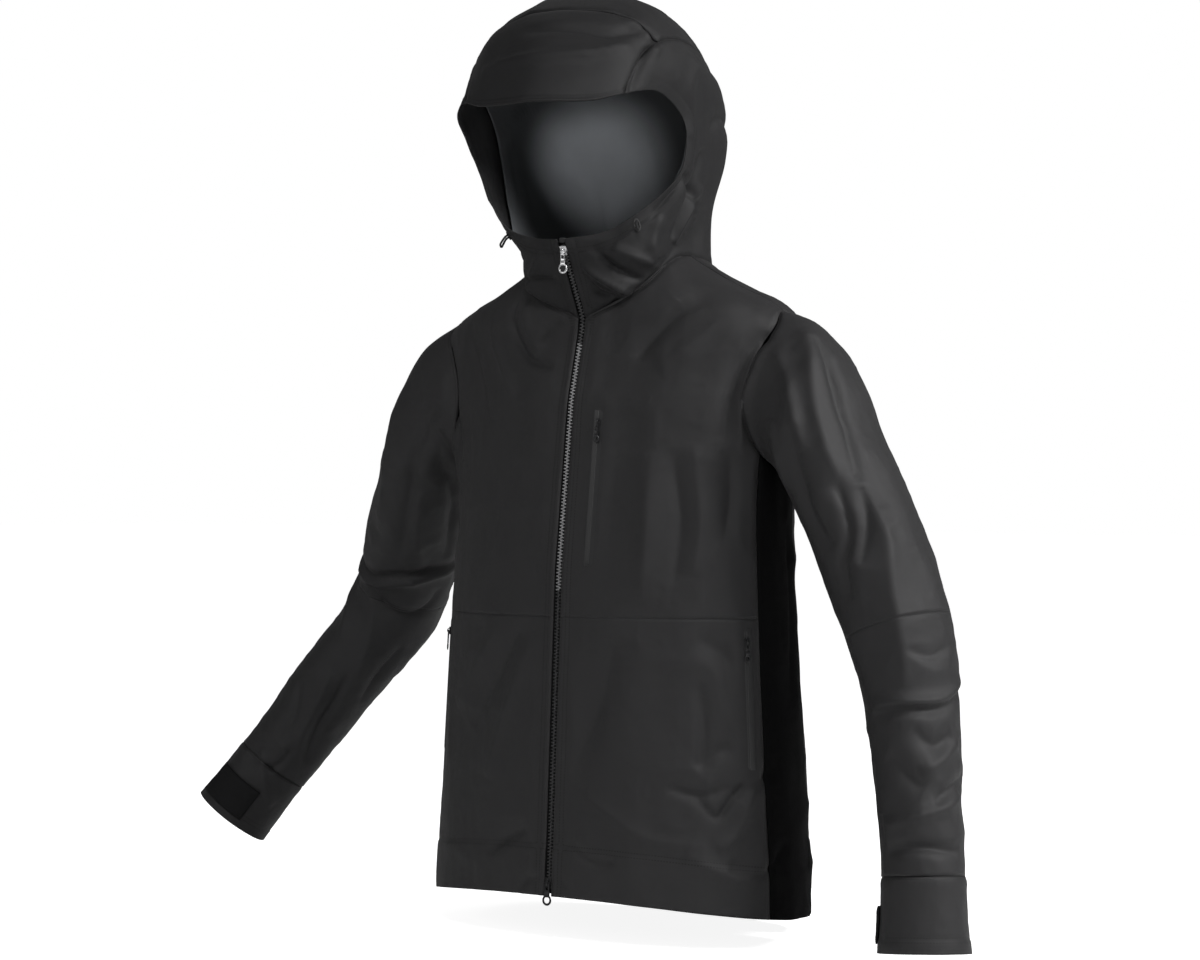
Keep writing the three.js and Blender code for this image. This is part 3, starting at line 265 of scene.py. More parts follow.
def armhole_floor(angle: Points) -> Points:
    """The armhole's lower edge."""
    k = np.clip((90 - np.abs(angle)) / ARMHOLE_SWEEP, -1, 1)
    return ARMHOLE_Z - ARMHOLE_RISE * np.sqrt(1 - k * k)


def seam_edge(z: Points, behind: bool) -> Points:
    """The angle of a front or back panel's outer edge: side seam, armhole, then shoulder.

    Args:
        z: heights.
        behind: whether the panel is the back.

    Returns:
        the edge's angle at each height.
    """
    k = (np.asarray(z, float) - ARMHOLE_Z) / ARMHOLE_RISE
    bow = ARMHOLE_SWEEP * np.sqrt(np.maximum(0, 1 - k * k))
    if behind:
        return np.where(k >= 1, 90.0, np.where(k < 0, np.maximum(BACK_ANGLE, 90 + bow), 90 + bow))
    return np.where(k >= 1, 90.0, np.where(k < 0, np.minimum(SIDE_ANGLE, 90 - bow), 90 - bow))


def signed(angle: Points) -> Points:
    """Angles from 0 to 360 as angles from -180 to 180."""
    return np.where(angle > 180, angle - 360, angle)


def angle_at(x: float, z: Points) -> Points:
    """The angle at which the front is x from the centre line."""
    return np.degrees(np.arcsin((x / curve(HALF_WIDTH, z)) ** (SQUARENESS / 2)))


# ------------------------------------------------------------------ the sleeves' surface
@dataclass(frozen=True)
class SleeveShape:
    """A sleeve's centre line below the armhole and its half width and half depth there."""

    side: Side
    centres: tuple[tuple[float, float, float], ...]
    wide: tuple[float, ...]
    deep: tuple[float, ...]

    def ring(self, t: float, turn: Points) -> Points:
        """Points round the sleeve at t rings below the armhole's own tube.

        Args:
            t: the ring number, which need not be whole.
            turn: degrees round the sleeve, from the outer side forward.

        Returns:
            the place at each turn.
        """
        last = len(self.centres) - 1
        tt = float(np.clip(t, 0, last))
        mid = np.array(self.centres, float)
        axis = unit(through(mid, np.array(min(tt + 0.05, last))) - through(mid, np.array(max(tt - 0.05, 0))))
        out = np.array([float(self.side.value), 0, 0])
        out = unit(out - axis * out.dot(axis))
        fore = np.array([0, -1.0, 0])
        fore = unit(fore - axis * fore.dot(axis) - out * fore.dot(out))
        rows = [float(curve(list(enumerate(v)), np.array(tt))) for v in (self.wide, self.deep)]
        cos, sin = np.cos(np.radians(turn))[..., None], np.sin(np.radians(turn))[..., None]
        return through(mid, np.array(tt)) + out * rows[0] * cos + fore * rows[1] * sin

    def cap(self, t: float, turn: Points) -> Points:
        """Points round the cap, from the armhole at 0 to the tube at 1.

        Args:
            t: the share of the way down the cap.
            turn: degrees round the sleeve.

        Returns:
            the place at each turn.
        """
        sin, cos = np.sin(np.radians(turn)), np.cos(np.radians(turn))
        start = body_point(self.side.value * (90 - ARMHOLE_SWEEP * sin), ARMHOLE_Z + ARMHOLE_RISE * cos)
        end, ahead = self.ring(0, turn), unit(self.ring(0.2, turn) - self.ring(0, turn))
        reach = np.linalg.norm(end - start, axis=-1, keepdims=True) * 0.4
        a = start + np.array([self.side.value * 0.94, 0, -0.34]) * reach
        b = end - ahead * reach
        return ((1 - t) ** 3 * start + 3 * (1 - t) ** 2 * t * a + 3 * (1 - t) * t * t * b + t ** 3 * end)

    def point(self, t: Points, turn: Points) -> Points:
        """The sleeve at t (0 at the armhole, 1 at the first ring) and turn degrees round it.

        Args:
            t: how far down the sleeve, in rings.
            turn: degrees round it.

        Returns:
            the place at each pair.
        """
        t, turn = np.broadcast_arrays(np.asarray(t, float), np.asarray(turn, float))
        out = np.zeros(t.shape + (3,))
        for value in np.unique(t):
            here = t == value
            out[here] = self.ring(value - 1, turn[here]) if value >= 1 else self.cap(value, turn[here])
        return out


SLEEVES = {
    Side.LEFT: SleeveShape(Side.LEFT, ((260, 4, 470), (309, 2, 372), (350, -4, 268), (372, -18, 170),
                                       (388, -34, 62), (396, -46, -36)),
                           (56, 57, 53, 45, 43, 47), (76, 68, 57, 48, 45, 49)),
    Side.RIGHT: SleeveShape(Side.RIGHT, ((-270, 24, 476), (-330, 62, 388), (-387, 96, 292), (-446, 62, 206),
                                         (-503, 22, 116), (-556, -14, 34)),
                            (56, 57, 52, 47, 44, 46), (76, 68, 57, 49, 46, 48)),
}
ELBOW_T, CUFF_T, SLEEVE_END = 2.8, 5.2, 6.0

# ------------------------------------------------------------------ the hood's surface
# Guide lines run from the face opening over the head to the neck seam, as (left, forward, height).
HOOD_GUIDES = [
    (0.7, [(ZIP_EDGE, float(front_depth(z)) + HOOD_CENTRE_Y, z) for z in (697, 680, 663, 646, 629)]),
    (14, [(42, 52, 703), (46, 54, 686), (51, 50, 670), (56, 44, 655), (59, 36, 642)]),
    (35, [(72, 36, 721), (77, 36, 707), (82, 30, 694), (85, 20, 680), (85, 10, 668)]),
    (60, [(102, 18, 757), (104, 6, 742), (99, -6, 725), (92, -14, 708), (87, -20, 692)]),
    (90, [(110, 14, 795), (115, -10, 790), (113, -36, 770), (100, -50, 738), (89, -54, 708)]),
    (118, [(106, 24, 830), (119, -8, 832), (124, -52, 818), (112, -90, 782), (88, -95, 728)]),
    (140, [(98, 70, 848), (116, 32, 872), (122, -50, 866), (104, -116, 815), (74, -124, 742)]),
    (157.5, [(86, 125, 838), (99, 80, 893), (104, 0, 908), (94, -92, 880), (60, -142, 775)]),
    (168, [(60, 156, 829), (68, 104, 915), (66, 10, 949), (58, -98, 925), (32, -152, 790)]),
]
HOOD_CROWN = (180, [(0, 176, 828), (0, 122, 922), (0, 12, 967), (0, -100, 944), (0, -156, 798)])
FAR_RIM = [(-ZIP_EDGE, float(front_depth(697)) + HOOD_CENTRE_Y, 697), (-40, 62, 700), (-66, 76, 712),
           (-84, 88, 742), (-94, 100, 775), (-101, 113, 802), (-105, 124, 823), (-90, 140, 836),
           (-60, 158, 829)]
FAR_PULL = (0, 0.6, 0.9, 0.9, 0.85, 0.75, 0.6, 0.4, 0.2)


def hood_frame(p: Points) -> Points:
    """From hood coordinates to the cutting frame: the neck twists up to the hood's turn.

    Args:
        p: places as (left, forward, height).

    Returns:
        the same places in the cutting frame.
    """
    turn = np.radians(HOOD_TURN) * smooth(p[..., 2], *HOOD_TURN_Z)
    return stack(p[..., 0] * np.cos(turn) + p[..., 1] * np.sin(turn),
                 HOOD_CENTRE_Y + p[..., 0] * np.sin(turn) - p[..., 1] * np.cos(turn), p[..., 2])


def hood_guides() -> tuple[Points, Points]:
    """The guide lines in the cutting frame and the neck angle that each ends on.

    Returns:
        the lines, one row of six places to a guide, and the angles.
    """
    near = [(a, np.array(line, float)) for a, line in HOOD_GUIDES]
    far = []
    for (angle, line), rim, pull in zip(near, FAR_RIM, FAR_PULL):
        line = line * np.array([-1, 1, 1])
        shift = np.array(rim) - line[0]
        line[0] = rim
        line[1] = line[1] + shift * pull * 0.6
        far.append((360 - angle, line))
    rows = near + [(HOOD_CROWN[0], np.array(HOOD_CROWN[1], float))] + far[::-1]
    angles = np.array([r[0] for r in rows], float)
    ends = body_point(angles, neck_z(signed(angles)))
    lines = np.array([np.vstack([hood_frame(line), end]) for (_, line), end in zip(rows, ends)])
    return lines, angles


GUIDES, NECK_ANGLES = hood_guides()
HOOD_LAST = len(GUIDES) - 1
CROWN_SEAMS = (7.0, HOOD_LAST - 7.0)
GUIDE_ROWS = GUIDES.swapaxes(0, 1)
CORD_GUIDE, CORD_SHARE = 2.0, 0.16  # where the hood's elastic comes out, near the chin


def hood_point(u: Points, v: Points) -> Points:
    """The hood: u in guides round from the zip, v from the face opening at 0 to the neck seam at 1.

    Args:
        u: guide numbers.
        v: shares of the way down to the neck seam.

    Returns:
        places on the hood.
    """
    u, v = np.broadcast_arrays(np.asarray(u, float), np.asarray(v, float))
    out = np.zeros(u.shape + (3,))
    at_seam = through(GUIDES[:, -1], u.ravel()).reshape(out.shape)
    angle = np.interp(u, np.arange(HOOD_LAST + 1), NECK_ANGLES)
    seam = body_point(angle, neck_z(signed(angle))) - at_seam
    for value in np.unique(v):
        here = v == value
        out[here] = through(through(GUIDE_ROWS, np.array(value * (len(GUIDE_ROWS) - 1))), u[here])
    return out + seam * smooth(v, 0.7, 1)[..., None]


# ------------------------------------------------------------------ folds
class FoldKind(Enum):
    """How cloth lies along a fold line."""

    RIDGE = "ridge"
    VALLEY = "valley"
    STEP = "step"


class Ground(Enum):
    """The surface whose own coordinates a fold line is laid out in."""

    BODY = "body"
    HOOD = "hood"
    LEFT_SLEEVE = "left sleeve"
    RIGHT_SLEEVE = "right sleeve"

    def place(self, pairs: Points) -> Points:
        """Surface coordinates as points.

        Args:
            pairs: rows of two coordinates on this surface.

        Returns:
            their places.
        """
        if self is Ground.BODY:
            return body_point(pairs[:, 0], pairs[:, 1])
        if self is Ground.HOOD:
            return hood_point(pairs[:, 0], pairs[:, 1])
        side = Side.LEFT if self is Ground.LEFT_SLEEVE else Side.RIGHT
        return SLEEVES[side].point(pairs[:, 0], pairs[:, 1])


CRISPNESS = 1.55
FOLD_REACH = 3.2  # how many widths from its line a fold still lifts the cloth


@dataclass(frozen=True)
class Fold:
    """A fold: its line in surface coordinates, its width and its height, in millimetres."""

    ground: Ground
    line: tuple[tuple[float, float], ...]
    width: float
    height: float
    kind: FoldKind = FoldKind.RIDGE

    @cached_property
    def spine(self) -> Points:
        """The fold's line in the cutting frame, six steps to a stretch."""
        last = len(self.line) - 1
        return self.ground.place(through(np.array(self.line, float), np.linspace(0, last, 6 * last + 1)))

    def rise(self, points: Points, normals: Points) -> Points:
        """How far the fold lifts each point along its normal.

        Args:
            points: places on the cloth.
            normals: the cloth's outward directions there.

        Returns:
            the lift at each point, in millimetres.
        """
        spine, count = self.spine, len(self.spine)
        reach = FOLD_REACH * self.width
        low, high = spine.min(0) - reach, spine.max(0) + reach
        near = np.all((points > low) & (points < high), axis=1)
        lift = np.zeros(len(points))
        if not near.any():
            return lift
        p, best = points[near], np.full(near.sum(), 1e9)
        share, sideways = np.zeros(len(p)), np.zeros(len(p))
        for k in range(count - 1):
            a, d = spine[k], spine[k + 1] - spine[k]
            t = np.clip(((p - a) @ d) / max(d @ d, 1e-9), 0, 1)
            gap = p - a - t[:, None] * d
            far = np.linalg.norm(gap, axis=1)
            closer = far < best
            best = np.where(closer, far, best)
            share = np.where(closer, (k + t) / (count - 1), share)
            sign = np.sign(np.einsum("ij,ij->i", np.cross(np.broadcast_to(d, p.shape), normals[near]), gap))
            sideways = np.where(closer, sign * far, sideways)
        taper = np.sin(np.pi * np.clip(share, 0.0, 1.0)) ** 0.6
        x = sideways / self.width
        if self.kind is FoldKind.STEP:
            shape = np.tanh(2.2 * x) * np.exp(-(x / 1.6) ** 2)
        else:
            shape = np.exp(-np.abs(x) ** 1.35) * (1 if self.kind is FoldKind.RIDGE else -1)
        lift[near] = self.height * CRISPNESS * taper * shape
        return lift


def lattice_noise(points: Points, size: float, seed: int) -> Points:
    """Smooth noise from -1 to 1 whose grain is size millimetres.

    Args:
        points: where to read it.
        size: its grain.
        seed: which noise it is.

    Returns:
        the noise at each point.
    """
    q = points / size + seed * 17.31
    base = np.floor(q).astype(np.int64)
    f = q - base
    f = f * f * (3 - 2 * f)
    total = np.zeros(len(points))
    for corner in range(8):
        step = np.array([corner & 1, corner >> 1 & 1, corner >> 2 & 1])
        c = base + step
        h = (c[:, 0] * 374761393 + c[:, 1] * 668265263 + c[:, 2] * 2147483647 + seed * 974634777) & 0x7FFFFFFF
        h = ((h ^ (h >> 13)) * 1274126177) & 0x7FFFFFFF
        value = (h ^ (h >> 16)) % 65536 / 32767.5 - 1
        total += value * np.prod(np.where(step, f, 1 - f), axis=1)
    return total


def rumple(points: Points) -> Points:
    """The shell's own unevenness: broad swells, with the crisp small dents of a stiff laminate.

    Args:
        points: places on the cloth.

    Returns:
        the lift at each point, in millimetres.
    """
    swell = 2.6 * lattice_noise(points * np.array([1.3, 1.3, 0.6]), 95, 1)
    drape = 1.7 * lattice_noise(points * np.array([1.6, 1.6, 0.5]), 46, 2)
    crisp = 3.4 * (0.35 - np.abs(lattice_noise(points * np.array([1, 1, 0.7]), 38, 3)))
    fine = 0.8 * (0.35 - np.abs(lattice_noise(points, 15, 4)))
    return swell + drape + crisp + fine


BODY, HOOD, LEFT_ARM, RIGHT_ARM = Ground.BODY, Ground.HOOD, Ground.LEFT_SLEEVE, Ground.RIGHT_SLEEVE
VALLEY, STEP = FoldKind.VALLEY, FoldKind.STEP
# Lines run through (angle, height) on the body, (rings, turn) on a sleeve and (guide, share) on the hood.
FOLD_ROWS = {
    LEFT_ARM: [
        # from the left shoulder down the sleeve, then the elbow and the forearm
        (((0.3, 22), (0.64, 28), (1.0, 32), (1.6, 44)), 7, 5.0, VALLEY),
        (((0.1, 56), (0.6, 72), (1.08, 84)), 7, 3.6),
        (((0.2, 24), (0.56, 48), (1.1, 60), (1.5, 62)), 8, 3.8),
        (((1.5, 42), (2.1, 44), (2.6, 58), (3.5, 68)), 11, 4.5),
        (((1.5, 66), (1.92, 74), (2.2, 96), (2.5, 104)), 6, 5.0, VALLEY),
        (((1.6, 44), (1.92, 54), (2.25, 78)), 7, 4.6, VALLEY),
        (((0.8, 84), (1.36, 100), (1.68, 108), (2.0, 100)), 7, 4.4, VALLEY),
        (((0.5, 100), (0.9, 112), (1.4, 128)), 7, 3.6),
        (((3.66, 120), (3.66, 84), (3.68, 44), (3.62, 10), (3.4, -30)), 6, -4.6, STEP),
        (((3.1, 62), (3.2, 32), (3.0, -20)), 5, 1.8, VALLEY),
        (((3.88, 66), (4.06, 38), (3.94, 4)), 10, 4.4, VALLEY),
        (((4.1, 104), (4.3, 80), (4.46, 56)), 10, 3.8, VALLEY),
        (((4.74, 124), (4.68, 62), (4.5, -10)), 8, 4.2),
        (((4.97, 122), (4.95, 66), (5.0, 4)), 6, 5.2, VALLEY),
        (((4.3, -34), (4.42, 10), (4.56, 44)), 7, 3.6, VALLEY),
        (((4.0, -10), (4.2, 30), (4.3, 60)), 8, 3.0),
        (((0.5, 300), (1.3, 280), (2.2, 262)), 12, 5.0, VALLEY),
        (((1.2, 220), (1.9, 250), (2.5, 290)), 9, 4.4, VALLEY),
        (((3.7, 180), (3.72, 230), (3.6, 290)), 7, 4.6, VALLEY),
        (((4.3, 190), (4.5, 240), (4.3, 300)), 8, 3.8, VALLEY),
    ],
    RIGHT_ARM: [
        # the right sleeve: armpit, elbow and forearm
        (((0.2, 92), (0.5, 96), (1.36, 104), (2.08, 110)), 9, 3.6, VALLEY),
        (((0.32, 100), (0.22, 128), (0.16, 165)), 6, 4.0, VALLEY),
        (((0.36, 120), (0.92, 142), (1.5, 158), (2.1, 166)), 7, 4.6, VALLEY),
        (((0.5, 40), (1.2, 66), (1.9, 74)), 11, 3.2),
        (((1.2, 112), (1.8, 124), (2.2, 138)), 8, 3.2),
        (((2.5, 20), (2.52, 68), (2.34, 112), (2.28, 150), (2.3, 190)), 6, 5.0, STEP),
        (((2.56, 70), (2.86, 108), (2.84, 150), (2.5, 168)), 8, 4.6, VALLEY),
        (((2.7, 30), (3.24, 64), (3.74, 104)), 9, 3.6),
        (((2.7, 76), (3.48, 130), (3.95, 156)), 9, 3.2),
        (((3.3, 172), (3.7, 178), (4.1, 186)), 7, 3.6, VALLEY),
        (((3.9, 140), (4.3, 150), (4.6, 156), (4.95, 178)), 6, 4.8, VALLEY),
        (((4.0, 118), (4.5, 134), (4.9, 148)), 7, 3.6),
        (((4.3, 84), (4.6, 112), (4.95, 124)), 6, 3.0, VALLEY),
        (((5.24, 84), (5.26, 118), (5.16, 140), (4.9, 144)), 5, 3.8, VALLEY),
        (((5.1, 104), (5.36, 140), (5.5, 176)), 6, 3.4),
        (((0.8, 240), (1.5, 270), (2.3, 262)), 10, 5.0, VALLEY),
        (((2.6, 200), (2.8, 250), (2.6, 310)), 8, 4.8, VALLEY),
        (((3.6, 220), (4.0, 270), (4.6, 300)), 8, 4.0, VALLEY),
    ],
    BODY: [
        # the left chest and shoulder
        (((66, 596), (57, 560), (54, 520), (54, 480)), 9, 4.6, VALLEY),
        (((66, 584), (62, 548), (60, 512), (63, 470)), 7, 4.2),
        (((56, 640), (30, 616), (20, 588), (17, 566)), 9, 3.4, VALLEY),
        (((44, 610), (34, 580), (24, 560)), 14, 2.6),
        (((27, 470), (27, 388), (26, 310)), 17, 4.0),
        (((42, 480), (47, 400), (44, 340)), 13, 3.2),
        (((34, 470), (39, 400), (37, 330)), 9, 3.0, VALLEY),
        (((58, 470), (60, 420), (56, 370)), 9, 2.6, VALLEY),
        # the right chest, with the edge of the turned collar
        (((-47, 616), (-37, 556), (-30, 500)), 10, 3.6, VALLEY),
        (((-34, 620), (-26, 570), (-19, 530)), 8, 3.2),
        (((-29, 640), (-20, 596), (-14, 572), (-6, 562)), 4.5, 4.4, VALLEY),
        (((-22, 636), (-15, 600), (-10, 580)), 8, 3.4),
        (((-5, 614), (-8, 608), (-11, 594)), 3.2, 2.4, VALLEY),
        (((-68, 590), (-62, 532), (-56, 460)), 10, 4.0, VALLEY),
        (((-72, 560), (-64, 500), (-66, 430)), 9, 3.4),
        # the skirt: pocket corners, the drag lines above the hem and the broad slants on the right
        (((58, 122), (46, 112), (34, 121)), 5, 3.4, VALLEY),
        (((44, 112), (52, 90), (58, 108), (67, 132)), 4, 3.6, VALLEY),
        (((60, 112), (70, 128), (82, 134)), 7, 4.2, VALLEY),
        (((69, 120), (60, 72), (52, 56)), 7, 3.2),
        (((40, 52), (61, 26), (78, 46)), 12, 4.0),
        (((56, 40), (70, 30), (84, 56)), 7, 3.6, VALLEY),
        (((45, 138), (52, 156), (61, 162)), 9, 3.0, VALLEY),
        (((-6, 70), (-13, 56), (-20, 38)), 5, 3.8, VALLEY),
        (((-9, -4), (-4, 18), (5, 14)), 4, 2.6, VALLEY),
        (((5, 58), (11, 40), (18, 42)), 5, 2.8, VALLEY),
        (((-42, 190), (-28, 244), (-18, 294)), 15, 3.6),
        (((-22, 120), (-14, 204), (-6, 276)), 12, 3.4),
        (((-30, 170), (-20, 226), (-11, 282)), 9, 3.0, VALLEY),
        (((46, 276), (60, 252), (70, 214)), 11, 3.4, VALLEY),
        (((5, 130), (13, 208), (17, 272)), 14, 3.0, VALLEY),
        (((46, 230), (48, 184), (47, 140)), 8, 2.6, VALLEY),
        (((8, 110), (28, 66), (48, 60)), 10, 2.4),
        # the back, from the shoulder blades down, and the tail
        (((128, 600), (140, 520), (146, 430)), 13, 4.6, VALLEY),
        (((-128, 600), (-141, 516), (-150, 420)), 13, 4.6, VALLEY),
        (((160, 620), (166, 500), (158, 360)), 16, 3.6),
        (((-166, 600), (-160, 470), (-168, 330)), 14, 3.6),
        (((120, 400), (142, 300), (150, 180)), 12, 4.2, VALLEY),
        (((-118, 380), (-136, 270), (-142, 140)), 12, 4.2, VALLEY),
        (((172, 260), (178, 150), (170, 30)), 15, 3.4, VALLEY),
        (((95, 400), (98, 300), (92, 200)), 9, 3.0, VALLEY),
        (((-96, 420), (-92, 300), (-98, 180)), 9, 3.0, VALLEY),
    ],
    HOOD: [
        # the collar and the front of the neck
        (((0.35, 0.34), (0.75, 0.60), (1.15, 0.97)), 4.5, 6.2),
        (((0.3, 0.44), (0.45, 0.70), (0.85, 0.97)), 4.5, 5.8, VALLEY),
        (((0.75, 0.30), (1.15, 0.56), (1.5, 0.88)), 5, 5.8, VALLEY),
        (((0.7, 0.12), (0.85, 0.3), (1.0, 0.48)), 5, 3.5, VALLEY),
        (((1.2, 0.24), (1.6, 0.5), (2.0, 0.84)), 7, 4.0),
        (((16.8, 0.60), (17.2, 0.55), (17.6, 0.52)), 5, 4.5, VALLEY),
        (((17.3, 0.16), (17.1, 0.44), (16.8, 0.80)), 6, 4.2),
        (((16.4, 0.3), (16.2, 0.56), (16.0, 0.84)), 7, 4.5, VALLEY),
        (((2.0, 0.72), (2.15, 0.44), (2.55, 0.26)), 9, 3.8),
        (((2.2, 0.2), (2.8, 0.1), (3.5, 0.14)), 4, 4.0, VALLEY),
        (((3.4, 0.06), (3.45, 0.34), (4.0, 0.70)), 5, 4.8, VALLEY),
        (((4.2, 0.24), (3.7, 0.30), (3.2, 0.46), (2.8, 0.66)), 5.5, 5.2, VALLEY),
        (((3.9, 0.44), (3.3, 0.58), (2.9, 0.76)), 7, 4.2),
        # the crown and the brim
        (((10.2, 0.10), (9.2, 0.11), (8.2, 0.12), (7.4, 0.16)), 5, 3.8),
        (((9.4, 0.17), (8.6, 0.17), (7.9, 0.17), (7.3, 0.24)), 6, 4.5, VALLEY),
        (((6.8, -0.02), (6.9, 0.10), (7.15, 0.26)), 5, 4.2, VALLEY),
        (((7.9, 0.22), (7.4, 0.22), (6.7, 0.18)), 6, 4.0),
        (((6.4, 0.34), (5.3, 0.14), (4.2, 0.08)), 11, 3.2),
        (((6.0, 0.62), (5.4, 0.42), (4.8, 0.30)), 9, 4.0, VALLEY),
        (((11.6, 0.5), (12.6, 0.36), (13.4, 0.24)), 9, 4.0, VALLEY),
        (((8.0, 0.9), (9.0, 0.74), (10.0, 0.88)), 10, 4.2, VALLEY),
    ],
}
FOLDS = [Fold(ground, *row) for ground, rows in FOLD_ROWS.items() for row in rows]


def still_zones() -> list[tuple[Points, Points]]:
    """The pocket zips' ends: the cloth lies flat about each.

    Returns:
        the two ends of each line that the cloth lies flat along.
    """
    runs = [[body_point(angle_at(CHEST_X, z), z) for z in CHEST_ZIP]]
    runs += [[body_point(side.value * HAND_ANGLE, z) for z in HAND_ZIP] for side in Side]
    for guide in (CORD_GUIDE, HOOD_LAST - CORD_GUIDE):
        runs.append([hood_point(np.array([guide]), np.array([v])) for v in (0.15, 0.17)])
    return [(np.ravel(a), np.ravel(b)) for a, b in runs]


STILL_ZONES = still_zones()


def stillness(points: Points) -> Points:
    """How flat the cloth must lie at each point, from 0 to 1, for the zips sewn to it.

    Args:
        points: places on the cloth.

    Returns:
        the share of the folds to leave out at each point.
    """
    still = np.where(points[:, 1] < -40, 1 - smooth(np.abs(points[:, 0]), 5, 30), 0) * (points[:, 2] < 712)
    for a, b in STILL_ZONES:
        t = np.clip((points - a) @ (b - a) / ((b - a) @ (b - a)), -0.02, 1.02)
        gap = np.linalg.norm(points - a - t[:, None] * (b - a), axis=1)
        still = np.maximum(still, 1 - smooth(gap, 8, 26))
    return still


def lift_cloth(points: Points, normals: Points, calm: Points) -> Points:
    """The cloth's points after its folds and unevenness; calm from 0 to 1 stills the unevenness.

    Args:
        points: places on the smooth surface.
        normals: the outward directions there.
        calm: how far to still the unevenness.

    Returns:
        the places on the folded cloth.
    """
    lift = rumple(points) * (1 - 0.75 * calm)
    for fold in FOLDS:
        lift += fold.rise(points, normals)
    return points + normals * (lift * (1 - stillness(points)))[:, None]


# ------------------------------------------------------------------ finishes
STITCH_INSET, STITCH_HALF, STITCH_PITCH, STITCH_SHARE = 0.0034, 0.0005, 0.0032, 0.62
DULLNESS_SPREAD = 0.07
Socket = bpy.types.NodeSocket


@dataclass
class Nodes:
    """A material's nodes, with short ways to add one and join it to the rest."""

    tree: bpy.types.NodeTree

    def join(self, value: object, socket: Socket) -> None:
        """Links an output to an input, or sets the input to a plain value.

        Args:
            value: the output or the plain value.
            socket: the input.
        """
        if isinstance(value, Socket):
            self.tree.links.new(value, socket)
        else:
            socket.default_value = value

    def add(self, kind: str, **values: object) -> bpy.types.Node:
        """A new node with some of its inputs joined or set.

        Args:
            kind: the node's type.
            values: what goes to each input, by its name with _ for a space.

        Returns:
            the node.
        """
        node = self.tree.nodes.new(f"ShaderNode{kind}")
        for key, value in values.items():
            self.join(value, node.inputs[key.replace("_", " ")])
        return node

    def sum(self, kind: str, *parts: object) -> Socket:
        """One sum on values or outputs.

        Args:
            kind: the operation.
            parts: what goes in.

        Returns:
            its result.
        """
        node = self.add("Math")
        node.operation = kind
        for value, socket in zip(parts, node.inputs):
            self.join(value, socket)
        return node.outputs[0]

    def mixed(self, share: Socket, low: object, high: object) -> Socket:
        """A mix of two colours.

        Args:
            share: how much of the second.
            low: the first colour.
            high: the second colour.

        Returns:
            the mixed colour.
        """
        node = self.add("Mix")
        node.data_type = "RGBA"
        self.join(share, node.inputs["Factor"])
        self.join(low, node.inputs[6])
        self.join(high, node.inputs[7])
        return node.outputs[2]


